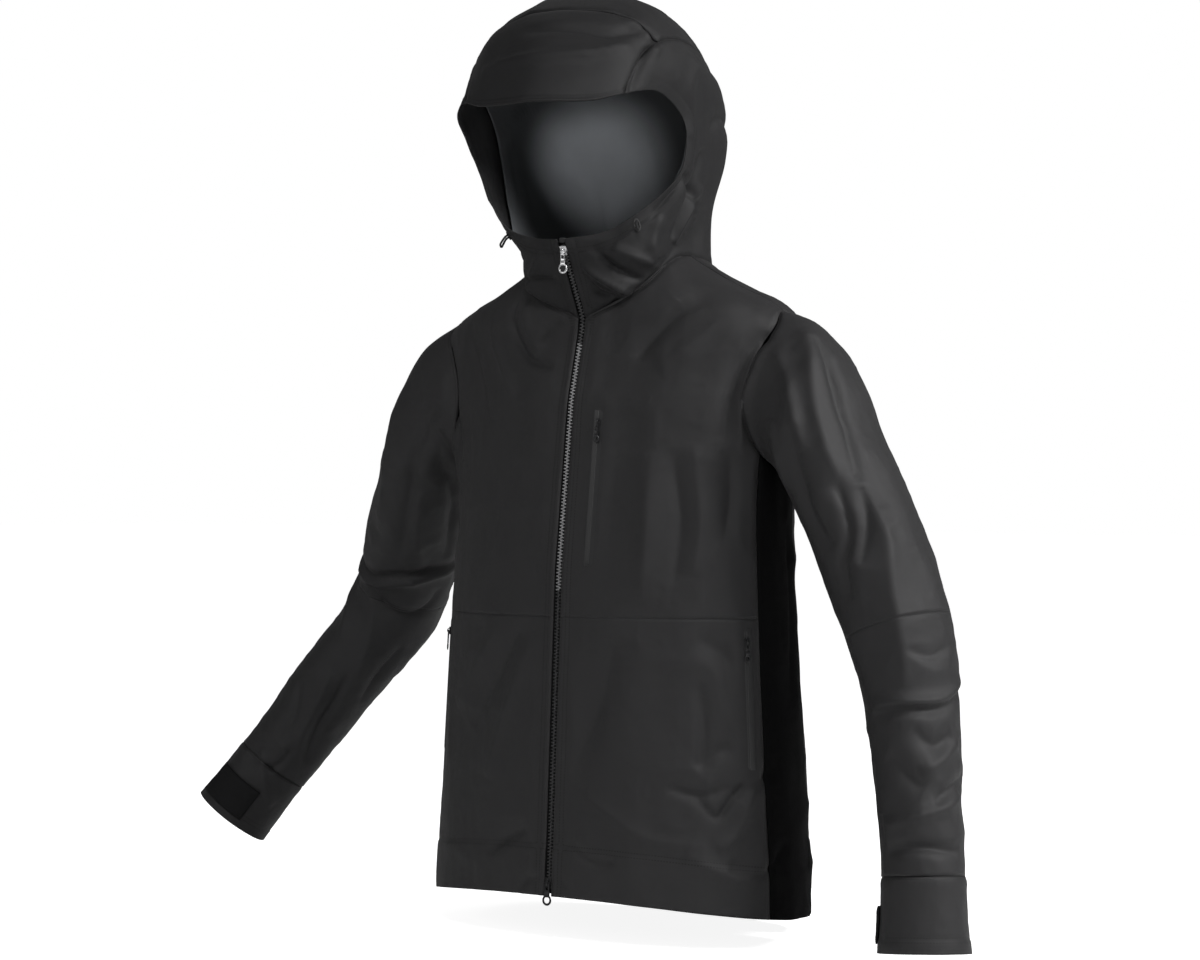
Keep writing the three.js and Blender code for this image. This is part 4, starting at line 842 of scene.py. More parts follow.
@dataclass(frozen=True)
class Finish:
    """A material: its colour, shine and the pattern of its surface.

    weave is the thread spacing in metres (0 for none), grain the size of its mottling and relief its depth.
    """

    name: str
    colour: tuple[float, float, float]
    rough: float
    metal: float = 0.0
    sheen: float = 0.0
    weave: float = 0.0
    grain: float = 0.004
    relief: float = 0.00003
    mottle: float = 0.12
    stitched: bool = False
    gloss: float = 0.5
    # the centre and reach of a painted pool of light; away from it the colour fades to a painted shade
    pool: tuple[float, float, float, float] | None = None

    def shade(self, share: float) -> tuple[float, ...]:
        """The colour at a share of its strength."""
        return (*[c * share for c in self.colour], 1)

    def make(self) -> bpy.types.Material:
        """The finish as a node material, made once.

        Returns:
            the material.
        """
        made = bpy.data.materials.get(self.name)
        if made:
            return made
        made = bpy.data.materials.new(self.name)
        made.use_nodes = True
        nodes = Nodes(made.node_tree)
        place = nodes.add("TexCoord").outputs["Object"]
        broad = nodes.add("TexNoise", Vector=place, Scale=1 / (self.grain * 12), Detail=4.0)
        fine = nodes.add("TexNoise", Vector=place, Scale=1 / self.grain, Detail=3.0)
        colour = nodes.mixed(broad.outputs["Fac"], self.shade(1 - self.mottle), self.shade(1 + self.mottle))
        # paints the pool of light and the shade around it into the colour
        if self.pool:
            colour = self.pooled(nodes, place, colour)
        dull = nodes.add("MapRange", Value=fine.outputs["Fac"], To_Min=self.rough - DULLNESS_SPREAD,
                         To_Max=self.rough + DULLNESS_SPREAD)
        height = fine.outputs["Fac"]
        if self.weave:
            height = nodes.sum("ADD", self.woven(nodes), height)
        if self.stitched:
            colour = self.stitches(nodes, colour)
        bump = nodes.add("Bump", Height=height, Strength=0.6, Distance=self.relief * 4)
        shader = made.node_tree.nodes["Principled BSDF"]
        for name, value in {"Metallic": self.metal, "Sheen Weight": self.sheen, "Sheen Roughness": 0.5,
                            "Specular IOR Level": self.gloss, "Roughness": dull.outputs["Result"],
                            "Base Color": colour, "Normal": bump.outputs["Normal"]}.items():
            nodes.join(value, shader.inputs[name])
        return made

    def pooled(self, nodes: Nodes, place: Socket, colour: Socket) -> Socket:
        """Paints a pool of light: the colour fades to a painted shade away from the pool's centre.

        Args:
            nodes: the material's nodes.
            place: each point's place.
            colour: the colour at the pool.

        Returns:
            the faded colour.
        """
        gap = nodes.add("VectorMath")
        gap.operation = "DISTANCE"
        nodes.join(place, gap.inputs[0])
        nodes.join(self.pool[:3], gap.inputs[1])
        fall = nodes.add("MapRange", Value=gap.outputs["Value"], From_Min=self.pool[3] * 0.35,
                         From_Max=self.pool[3])
        fall.interpolation_type = "SMOOTHSTEP"
        return nodes.mixed(fall.outputs["Result"], colour, self.shade(0.12))

    def woven(self, nodes: Nodes) -> Socket:
        """The height of the weave, threads across by threads along.

        Args:
            nodes: the material's nodes.

        Returns:
            the height.
        """
        cloth = nodes.add("UVMap")
        cloth.uv_map = "cloth"
        waves = []
        for direction in ("X", "Y"):
            wave = nodes.add("TexWave", Vector=cloth.outputs["UV"], Scale=0.314 / self.weave,
                             Distortion=0.6, Detail=1.0)
            wave.bands_direction = direction
            waves.append(wave.outputs["Fac"])
        return nodes.sum("MULTIPLY", *waves)

    def stitches(self, nodes: Nodes, colour: Socket) -> Socket:
        """Adds a line of stitches inside each sewn edge.

        Args:
            nodes: the material's nodes.
            colour: the cloth's colour without stitches.

        Returns:
            the colour with the stitches.
        """
        seam = nodes.add("UVMap")
        seam.uv_map = "seam"
        parts = nodes.add("SeparateXYZ", Vector=seam.outputs["UV"])
        off = nodes.sum("ABSOLUTE", nodes.sum("SUBTRACT", parts.outputs["Y"], STITCH_INSET))
        line = nodes.sum("LESS_THAN", off, STITCH_HALF)
        step = nodes.sum("FRACT", nodes.sum("DIVIDE", parts.outputs["X"], STITCH_PITCH))
        dash = nodes.sum("LESS_THAN", step, STITCH_SHARE)
        return nodes.mixed(nodes.sum("MULTIPLY", line, dash), colour, self.shade(0.35))


LINING_LIGHT_POOL = (-0.084, 0.008, 0.150, 0.105)  # the centre of a pool of light painted on the lining, and how far out it fades to a painted shade
SHELL = Finish("shell_cloth", (0.0150, 0.0146, 0.0154), 0.56, sheen=0.03, weave=0.0005, stitched=True,
               gloss=0.3)
# The hood's cloth: the shell cloth painted darker, as painted shade.
SHADED_HOOD_SHELL = Finish("hood_cloth", (0.0098, 0.0096, 0.0102), 0.56, sheen=0.03, weave=0.0005, stitched=True,
                    gloss=0.22)
# The side panels' cloth: the shell cloth painted near black, as painted shade under the arms.
SHADED_SIDE_SHELL = Finish("side_cloth", (0.0028, 0.0028, 0.0030), 0.8, weave=0.0005, gloss=0.05)
# the lining carries a painted pool of light that fades to painted shade at its edges
LINING = Finish("hood_lining_cloth", (0.66, 0.69, 0.73), 0.85, weave=0.0012, gloss=0.1, pool=LINING_LIGHT_POOL)
TRIM = Finish("black_trim", (0.0055, 0.0055, 0.006), 0.8, grain=0.0012, relief=0.00006, gloss=0.2)
HOOK = Finish("hook_tape", (0.0035, 0.0035, 0.0038), 0.95, grain=0.0006, relief=0.00025, gloss=0.1)
CORD = Finish("elastic_cord", (0.0045, 0.0045, 0.005), 0.85, grain=0.0005, relief=0.00008)
TAPE = Finish("zip_tape", (0.008, 0.008, 0.0085), 0.75, grain=0.0006, relief=0.00006, gloss=0.25)
WELT = Finish("zip_welt", (0.011, 0.011, 0.0115), 0.42, grain=0.001, relief=0.00001, gloss=0.5)
TEETH = Finish("zip_teeth", (0.035, 0.035, 0.036), 0.32, grain=0.002, relief=0.000004)
# The paler teeth between two heights up the front zip: painted glints of light.
GLINT_PAINTED_TEETH = Finish("zip_teeth_worn", (0.27, 0.27, 0.275), 0.3, metal=0.35, grain=0.002, relief=0.000004)
BLACK_METAL = Finish("black_enamel", (0.014, 0.014, 0.015), 0.33, metal=0.4, grain=0.003, relief=0.000004)
SILVER = Finish("satin_silver", (0.66, 0.66, 0.67), 0.24, metal=1.0, grain=0.002, relief=0.000003,
                mottle=0.04)
PLASTIC = Finish("moulded_plastic", (0.007, 0.007, 0.0075), 0.62, grain=0.0008, relief=0.00002)


# ------------------------------------------------------------------ pieces of cloth
UNSEWN = 900.0  # a distance in millimetres that no stitch is drawn at


@dataclass
class ClothPanel:
    """One cut piece of the shell.

    Attributes:
        name: the piece's name.
        surface: from two arrays, u and v from 0 to 1, to places in the cutting frame.
        size: rows of points across and along.
        body: the body that it rides on.
        finish: its cloth.
        slot: the material slot; not used.
        replaces: the solids that it stands for.
        closed: whether it closes round on itself across.
        sewn: which of its edges are seams, of the four letters l, r, b and t.
        hems: edges turned up into a hem, as letter to width in millimetres.
        blend: the second body and the two heights or places where it crosses a joint; a piece that has one is
            baked in place and attached to no body, and these values are not used.
        thick: the cloth's thickness in millimetres.
        inset: how deep below the outer surface it lies.
        calm: how far the cloth's unevenness is stilled, from 0 to 1.
        flip: whether u and v run so that their cross product points inward.
    """

    name: str
    surface: Callable[[Points, Points], Points]
    size: tuple[int, int]
    body: str
    finish: Finish = SHELL
    slot: str = "shell"
    replaces: tuple[str, ...] = ()
    closed: bool = False
    sewn: str = "lrbt"
    hems: tuple[tuple[str, float], ...] = ()
    blend: tuple[str, Points, Points] | None = None
    thick: float = 1.3
    inset: float = 0.0
    calm: float = 0.0
    flip: bool = False

    def build(self) -> bpy.types.Object:
        """Returns:
            the finished piece.
        """
        nu, nv = self.size
        u, v = np.meshgrid(np.linspace(0, 1, nu + 1), np.linspace(0, 1, nv + 1), indexing="ij")
        base = self.surface(u, v)
        eps = 0.002
        du = self.surface(u + eps, v) - self.surface(u - eps, v)
        dv = self.surface(u, np.clip(v + eps, 0, 1)) - self.surface(u, np.clip(v - eps, 0, 1))
        normals = unit(np.cross(du, dv)) * (-1 if self.flip else 1)
        across = np.linalg.norm(np.diff(base, axis=0), axis=2)
        along = np.linalg.norm(np.diff(base, axis=1), axis=2)
        s = np.vstack([np.zeros(nv + 1), across.cumsum(0)])
        t = np.hstack([np.zeros((nu + 1, 1)), along.cumsum(1)])
        gaps = {"l": s, "r": s[-1] - s, "b": t, "t": t[:, -1:] - t}
        edge, run = np.full(base.shape[:2], UNSEWN), np.zeros(base.shape[:2])
        sink = np.zeros(base.shape[:2])
        for letter in self.sewn:
            gap = gaps[letter]
            run = np.where(gap < edge, t if letter in "lr" else s, run)
            edge = np.minimum(edge, gap)
        sink -= 1.0 * np.exp(-(edge / 2.6) ** 2) - 0.45 * np.exp(-((edge - 7) / 4) ** 2)
        for letter, width in self.hems:
            gap = gaps[letter]
            step, crease = smooth(gap, width - 1.5, width + 1.5), np.exp(-((gap - width) / 2) ** 2)
            sink += 0.9 * (1 - step) - 0.5 * crease
            run = np.where(gap < width * 2, t if letter in "lr" else s, run)
            edge = np.minimum(edge, np.abs(gap - width) + 1.0)
        points, normals = base.reshape(-1, 3), normals.reshape(-1, 3)
        moved = lift_cloth(points, normals, np.full(len(points), self.calm))
        moved += normals * (sink.ravel() - self.inset)[:, None]
        return self.finish_piece(moved, s, t, edge, run)

    def finish_piece(self, points: Points, s: Points, t: Points, edge: Points,
                     run: Points) -> bpy.types.Object:
        """Turns the laid-out points into a piece with thickness and maps, attached to its body unless it has
        a blend.

        Args:
            points: the cloth's outer points.
            s: the distance across at each point.
            t: the distance along at each point.
            edge: the distance to the nearest sewn edge.
            run: the distance along that edge.

        Returns:
            the finished piece.
        """
        nu, nv = self.size
        columns = nu if self.closed else nu + 1
        faces, corners = [], []
        for i in range(nu):
            for j in range(nv):
                quad = ((i, j), (i + 1, j), (i + 1, j + 1), (i, j + 1))
                if self.flip:
                    quad = quad[:1] + quad[:0:-1]
                faces.append(tuple(a % columns * (nv + 1) + b for a, b in quad))
                corners.extend(quad)
        points = (points[:columns * (nv + 1)] - HANGER) / 1000
        piece = Bench.shape(self.name, points.tolist(), faces)
        mesh, ij = piece.data, np.array(corners)
        for name, x, y in (("cloth", s, t), ("seam", run, edge)):
            layer = mesh.uv_layers.new(name=name)
            values = np.stack([x[ij[:, 0], ij[:, 1]], y[ij[:, 0], ij[:, 1]]], axis=1) / 1000
            layer.data.foreach_set("uv", values.astype(np.float32).ravel())
        mesh.materials.append(self.finish.make())
        mesh.shade_smooth()
        wall = piece.modifiers.new("wall", "SOLIDIFY")
        wall.thickness, wall.offset = self.thick / 1000, -1.0
        Bench.apply_all(piece)
        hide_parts(*self.replaces)
        if self.blend:
            other, start, end = self.blend
            start, end = (tuple((np.asarray(p, float) - HANGER) / 1000) for p in (start, end))
            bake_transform(piece)
        else:
            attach(piece, self.body)
        return piece


class Bench:
    """Small workshop habits shared by every piece."""

    @staticmethod
    def put(name: str, data: bpy.types.ID) -> bpy.types.Object:
        """Puts a mesh, a lamp or a camera into the scene.

        Args:
            name: the object's name.
            data: what it shows.

        Returns:
            the object.
        """
        thing = bpy.data.objects.new(name, data)
        bpy.context.scene.collection.objects.link(thing)
        return thing

    @staticmethod
    def shape(name: str, corners: Sequence, faces: Sequence) -> bpy.types.Object:
        """Puts a new mesh into the scene.

        Args:
            name: its name.
            corners: its corners.
            faces: its faces, as numbers of corners.

        Returns:
            the object.
        """
        mesh = bpy.data.meshes.new(name)
        mesh.from_pydata(corners, [], faces)
        return Bench.put(name, mesh)

    @staticmethod
    def alone(piece: bpy.types.Object) -> None:
        """Selects one object and makes it active.

        Args:
            piece: the object.
        """
        for o in bpy.context.view_layer.objects:
            o.select_set(False)
        piece.select_set(True)
        bpy.context.view_layer.objects.active = piece

    @staticmethod
    def apply_all(piece: bpy.types.Object) -> None:
        """Applies every modifier of a piece.

        Args:
            piece: the object.
        """
        Bench.alone(piece)
        for modifier in list(piece.modifiers):
            bpy.ops.object.modifier_apply(modifier=modifier.name)


# ------------------------------------------------------------------ the shell
@dataclass
class BodyShell:
    """The trunk of the jacket: front, side and back panels."""

    hem: float = 52.0
    facing: float = 9.0

    def front_lower(self, side: Side) -> ClothPanel:
        """The front panel below the chest seam.

        Args:
            side: the wearer's side.

        Returns:
            the panel, not yet built.
        """
        def surface(u: Points, v: Points) -> Points:
            """Places from the zip out to the side seam and from the hem up.

            Args:
                u: the share of the way out.
                v: the share of the way up.

            Returns:
                the places.
            """
            z = mix(hem_z(mix(0, SIDE_ANGLE, u)), CHEST_SEAM_Z, v)
            return body_point(side.value * mix(angle_at(ZIP_EDGE, z), SIDE_ANGLE, u), z)
        return ClothPanel(f"front_lower_cloth_{side.word}", surface, (84, 92), "torso",
                          replaces=(f"front_lower_{side.word}",), calm=0.45, sewn="r",
                          hems=(("b", self.hem), ("l", self.facing)), flip=side is Side.RIGHT)

    def front_upper(self, side: Side) -> ClothPanel:
        """The front panel above the chest seam, up to the neck, shoulder and armhole.

        Args:
            side: the wearer's side.

        Returns:
            the panel, not yet built.
        """
        def surface(u: Points, v: Points) -> Points:
            """Places from the zip out to the armhole and from the chest seam up.

            Args:
                u: the share of the way out.
                v: the share of the way up.

            Returns:
                the places.
            """
            first = float(angle_at(ZIP_EDGE, NECK_SEAM_Z))
            crest_angle = mix(first, 90.0, np.clip(u, 0, 1))
            crest = neck_z(crest_angle)
            shoulder = ARMHOLE_Z + ARMHOLE_RISE
            side_z = mix(CHEST_SEAM_Z, float(neck_z(90.0)), v)
            middle = mix(CHEST_SEAM_Z, crest, v)
            z = mix(side_z, middle, np.maximum(0, 1 - u) ** 0.7)
            z = mix(z, crest, smooth(v, 0.86, 1.0))
            angle = mix(angle_at(ZIP_EDGE, z), seam_edge(z, False), u)
            angle = mix(angle, crest_angle, smooth(v, 0.86, 1.0) * (z > shoulder - 12))
            return body_point(side.value * angle, z)
        return ClothPanel(f"front_upper_cloth_{side.word}", surface, (84, 112), "torso",
                          replaces=(f"front_upper_{side.word}",), calm=0.45, sewn="rt",
                          hems=(("l", self.facing),), flip=side is Side.RIGHT)

    def flank(self, side: Side) -> ClothPanel:
        """The side panel, from the hem's vent to the armpit.

        Args:
            side: the wearer's side.

        Returns:
            the panel, not yet built.
        """
        def surface(u: Points, v: Points) -> Points:
            """Places from the front seam to the back seam and from the hem up.

            Args:
                u: the share of the way back.
                v: the share of the way up.

            Returns:
                the places.
            """
            angle = mix(SIDE_ANGLE, BACK_ANGLE, u)
            return body_point(side.value * angle, mix(hem_z(angle), armhole_floor(angle), v))
        # the side panel takes the near-black painted-shade cloth
        return ClothPanel(f"side_cloth_{side.word}", surface, (28, 130), "torso", SHADED_SIDE_SHELL, "side_shell",
                          (f"side_panel_{side.word}",), sewn="lrt", hems=(("b", self.hem),),
                          flip=side is Side.RIGHT)

    def back(self) -> ClothPanel:
        """The back panel with its dropped tail.

        Returns:
            the panel, not yet built.
        """
        def surface(u: Points, v: Points) -> Points:
            """Places from one side seam to the other and from the hem up.

            Args:
                u: the share of the way across.
                v: the share of the way up.

            Returns:
                the places.
            """
            span = 2 * u - 1
            edge = np.clip(np.abs(span), 0, 1)
            base_angle = mix(180, BACK_ANGLE, edge)
            crest_angle = mix(180, 90, edge)
            crest = neck_z(crest_angle)
            z = mix(hem_z(base_angle), mix(float(neck_z(90.0)), crest, 1 - edge), v)
            z = mix(z, crest, smooth(v, 0.93, 1))
            angle = mix(180, seam_edge(z, True), edge)
            return body_point(angle * np.where(span < 0, -1, 1), z)
        return ClothPanel("back_cloth", surface, (120, 150), "torso", replaces=("back_panel",),
                          sewn="lrt", hems=(("b", self.hem),), flip=True)

    def build(self) -> None:
        """Makes every panel of the trunk."""
        for side in Side:
            for panel in (self.front_lower(side), self.front_upper(side), self.flank(side)):
                panel.build()
        self.back().build()


@dataclass
class Sleeve:
    """One sleeve: upper, lower and cuff, turning at the shoulder and at the elbow."""

    side: Side

    def tube(self, name: str, t0: float, t1: float, rows: int, **rest: object) -> ClothPanel:
        """A length of the sleeve between two ring numbers.

        Args:
            name: the piece's name without its side.
            t0: the upper ring number.
            t1: the lower ring number.
            rows: rows of points along.
            rest: the panel's other fields.

        Returns:
            the panel, not yet built.
        """
        shape = SLEEVES[self.side]

        def surface(u: Points, v: Points) -> Points:
            """Places round the sleeve and down it."""
            return shape.point(mix(t0, t1, v), 360 * u)
        return ClothPanel(f"{name}_{self.side.word}", surface, (116, rows), closed=True,
                          flip=self.side is Side.RIGHT, **rest)

    def build(self) -> None:
        """Makes the sleeve's three pieces."""
        word = self.side.word
        mid = [SLEEVES[self.side].point(np.array([t]), np.array([a])) for t in (0.05, 0.9) for a in (0, 180)]
        cap0, cap1 = (mid[0] + mid[1])[0] / 2, (mid[2] + mid[3])[0] / 2
        rings = [SLEEVES[self.side].ring(t - 1, np.array([0.0, 180.0])).mean(0) for t in (ELBOW_T - 0.2, 3.6)]
        self.tube("sleeve_upper_cloth", 0.0, ELBOW_T, 100, body="torso", sewn="b",
                  replaces=(f"sleeve_cap_{word}", f"sleeve_upper_{word}"),
                  blend=(f"upper_arm_{word}", cap0, cap1)).build()
        self.tube("sleeve_lower_cloth", ELBOW_T, CUFF_T, 88, body=f"upper_arm_{word}", sewn="",
                  replaces=(f"sleeve_elbow_{word}", f"sleeve_lower_{word}"),
                  blend=(f"forearm_{word}", rings[0], rings[1])).build()
        self.tube("cuff_cloth", CUFF_T, SLEEVE_END, 24, body=f"forearm_{word}", sewn="b",
                  replaces=(f"cuff_{word}",), hems=(("t", 14),), calm=0.5).build()


NECK_TURN = ("hood", np.array([0, -35, COLLAR_TOP_Z]), np.array([0, -35, NECK_TOP_Z]))


@dataclass
class Hood:
    """The collar and hood: two sides from neck seam to face, a centre panel, a stiff peak and a lining."""

    peak_v: float = 4 / 17

    def patch(self, name: str, u0: float, u1: float, v0: float, v1: float, size: tuple[int, int],
              **rest: object) -> ClothPanel:
        """A patch of the hood between two guides and two shares of their length.

        Args:
            name: the piece's name.
            u0: the first guide.
            u1: the last guide.
            v0: the upper share.
            v1: the lower share.
            size: rows of points across and along.
            rest: the panel's other fields.

        Returns:
            the panel, not yet built.
        """
        def surface(u: Points, v: Points) -> Points:
            """Places across the patch and down it."""
            return hood_point(mix(u0, u1, u), mix(v0, v1, v))
        rest = {"body": "torso", "blend": NECK_TURN, "calm": 0.35, **rest}
        return ClothPanel(name, surface, size, finish=SHADED_HOOD_SHELL, flip=True, **rest)

    def build(self) -> None:
        """Makes the collar, hood and lining."""
        low, high = CROWN_SEAMS
        self.patch("hood_side_cloth_left", 0, low, 0, 1, (110, 70), sewn="rt", hems=(("b", 14), ("l", 9)),
                   replaces=("collar_left", "hood_side_left", "hood_neck")).build()
        self.patch("hood_side_cloth_right", high, HOOD_LAST, 0, 1, (110, 70), sewn="lt",
                   hems=(("b", 14), ("r", 9)), replaces=("collar_right", "hood_side_right")).build()
        self.patch("hood_centre_cloth", low, high, self.peak_v, 1, (46, 74), sewn="lrbt",
                   replaces=("collar_back", "hood_centre")).build()
        self.patch("hood_peak_cloth", low, high, 0, self.peak_v, (46, 26), sewn="lrt", hems=(("b", 5),),
                   body="hood", blend=None, calm=0.9, thick=2.2, replaces=("hood_peak",)).build()
        self.lining().build()

    def lining(self) -> ClothPanel:
        """The paler lining, which starts behind a dark facing that is widest on the far side.

        Returns:
            the panel, not yet built.
        """
        def surface(u: Points, v: Points) -> Points:
            """Places round the lining and down it.

            Args:
                u: the share of the way round.
                v: the share of the way down.

            Returns:
                the places.
            """
            guide = mix(0.9, HOOD_LAST - 0.9, u)
            start = 0.06 + 0.17 * smooth(guide, 9.5, 13) + 0.10 * smooth(-guide, -3.0, -1.0)
            return hood_point(guide, mix(start, 0.96, v))
        return ClothPanel("hood_lining_cloth", surface, (110, 60), "torso", LINING, "lining",
                          ("hood_lining",), sewn="", inset=4.4, calm=0.35, thick=0.8, flip=True,
                          blend=NECK_TURN)


@dataclass
class Linings:
    """The pieces sewn inside the shell, and the cuffs' closing tabs."""

    bag_depth: float = 4.6
    facing: float = 46.0

    def inner(self, name: str, surface: Callable[[Points, Points], Points], size: tuple[int, int], node: str,
              inset: float, flip: bool = False) -> None:
        """A black inner piece that follows the shell at a depth.

        Args:
            name: the piece's name.
            surface: its place from u and v.
            size: rows of points.
            node: the solid that it stands for.
            inset: its depth below the shell.
            flip: as the panel's own field.
        """
        ClothPanel(name, surface, size, "torso", TRIM, "trim", (node,), sewn="", thick=0.7, inset=inset,
                   flip=flip).build()

    def tab(self, side: Side) -> None:
        """The hook-and-loop tab over a cuff and the patch that it lands on.

        Args:
            side: the wearer's side.
        """
        shape, word = SLEEVES[side], side.word
        span = (150, 235) if side is Side.LEFT else (60, 145)

        def band(first: float, last: float, low: float, high: float) -> Callable[[Points, Points], Points]:
            """A band round the cuff between two turns and two ring numbers.

            Args:
                first: the first turn.
                last: the last turn.
                low: the upper ring number.
                high: the lower ring number.

            Returns:
                the band's place from u and v.
            """
            return lambda u, v: shape.point(mix(low, high, v), mix(first, last, u))
        flip = side is Side.RIGHT
        ClothPanel(f"cuff_patch_{word}", band(span[0] + 8, span[1], *TAB_T), (30, 12),
                   f"forearm_{word}", HOOK, "trim", (f"cuff_loop_patch_{word}",), sewn="", thick=1.2,
                   inset=-1.6, calm=0.5, flip=flip).build()
        ClothPanel(f"cuff_tab_cloth_{word}", band(*span, TAB_T[0] - 0.04, TAB_T[1] + 0.04), (36, 14),
                   f"cuff_tab_{word}", TRIM, "trim", (f"cuff_tab_{word}",), sewn="lrbt", thick=1.5,
                   inset=-3.6, calm=0.5, flip=flip).build()

    def build(self) -> None:
        """Makes them all."""
        for side in Side:
            self.tab(side)
            self.inner(f"hand_bag_cloth_{side.word}", lambda u, v, k=side.value: body_point(
                k * mix(26, 71, u), mix(70, HAND_ZIP[1] + 6, v)), (34, 34), f"hand_pocket_bag_{side.word}",
                self.bag_depth, side is Side.RIGHT)
        self.inner("chest_bag_cloth", lambda u, v: body_point(
            mix(float(angle_at(29, CHEST_ZIP[1])), 42, u), mix(325, 505, v)), (24, 30), "chest_pocket_bag",
            self.bag_depth)

        def facing(u: Points, v: Points) -> Points:
            """Places round the hem and up the facing.

            Args:
                u: the share of the way round.
                v: the share of the way up.

            Returns:
                the places.
            """
            angle = mix(12, 348, u)
            edge = hem_z(signed(angle))
            plain = edge - notch(np.abs(signed(angle)))
            return body_point(angle, mix(edge + 3, plain + self.facing, v))
        self.inner("hem_facing_cloth", facing, (240, 10), "hem_facing", 3.2)

        def tape(u: Points, v: Points) -> Points:
            """Places round the back of the neck and up the tape.

            Args:
                u: the share of the way round.
                v: the share of the way up.

            Returns:
                the places.
            """
            angle = 180 + 60 * (2 * u - 1)
            return body_point(angle, neck_z(signed(angle)) - mix(14, 4, v))
        self.inner("neck_tape_cloth", tape, (60, 4), "neck_tape", 4.4)


# ------------------------------------------------------------------ zips and fittings
@dataclass(frozen=True)
class Run:
    """The straight frame of a zip: low end, direction up it and direction away from the cloth."""

    low: Points
    up: Points
    out: Points
    length: float

    @staticmethod
    def between(low: Points, high: Points, hint: Sequence[float], sink: float) -> "Run":
        """The frame from low to high, sunk below the cloth.

        Args:
            low: the lower end.
            high: the upper end.
            hint: roughly the way outward.
            sink: how deep below the cloth.

        Returns:
            the frame.
        """
        low, high, hint = np.ravel(low), np.ravel(high), np.array(hint, float)
        up = unit(high - low)
        out = unit(hint - up * hint.dot(up))
        return Run(low - out * sink, up, out, float(np.linalg.norm(high - low)))

    def matrix(self, along: float) -> Matrix:
        """From millimetres (x across, -y outward, z up the zip) to the finished place in metres."""
        return frame_at(np.cross(self.up, self.out), -self.out, self.up, self.low + self.up * along)


def centre_point(z: Points) -> Points:
    """The front zip's line on the cloth's surface."""
    return stack(0.0, -front_depth(z), z)


FRONT_SINK, FRONT_ENDS = 3.2, (6.0, 692.0)
RUNS = {
    "front_lower": Run.between(centre_point(6.0), centre_point(320.0), (0, -1, 0), FRONT_SINK),
    "front_collar": Run.between(centre_point(625.0), centre_point(692.0), (0, -1, 0), FRONT_SINK),
    "chest": Run.between(*[body_point(angle_at(CHEST_X, z), z) for z in CHEST_ZIP], (0.12, -1, 0), 1.2),
    "hand_left": Run.between(*[body_point(HAND_ANGLE, z) for z in HAND_ZIP], (0.72, -0.69, 0), 1.2),
    "hand_right": Run.between(*[body_point(-HAND_ANGLE, z) for z in HAND_ZIP], (-0.72, -0.69, 0), 1.2),
}


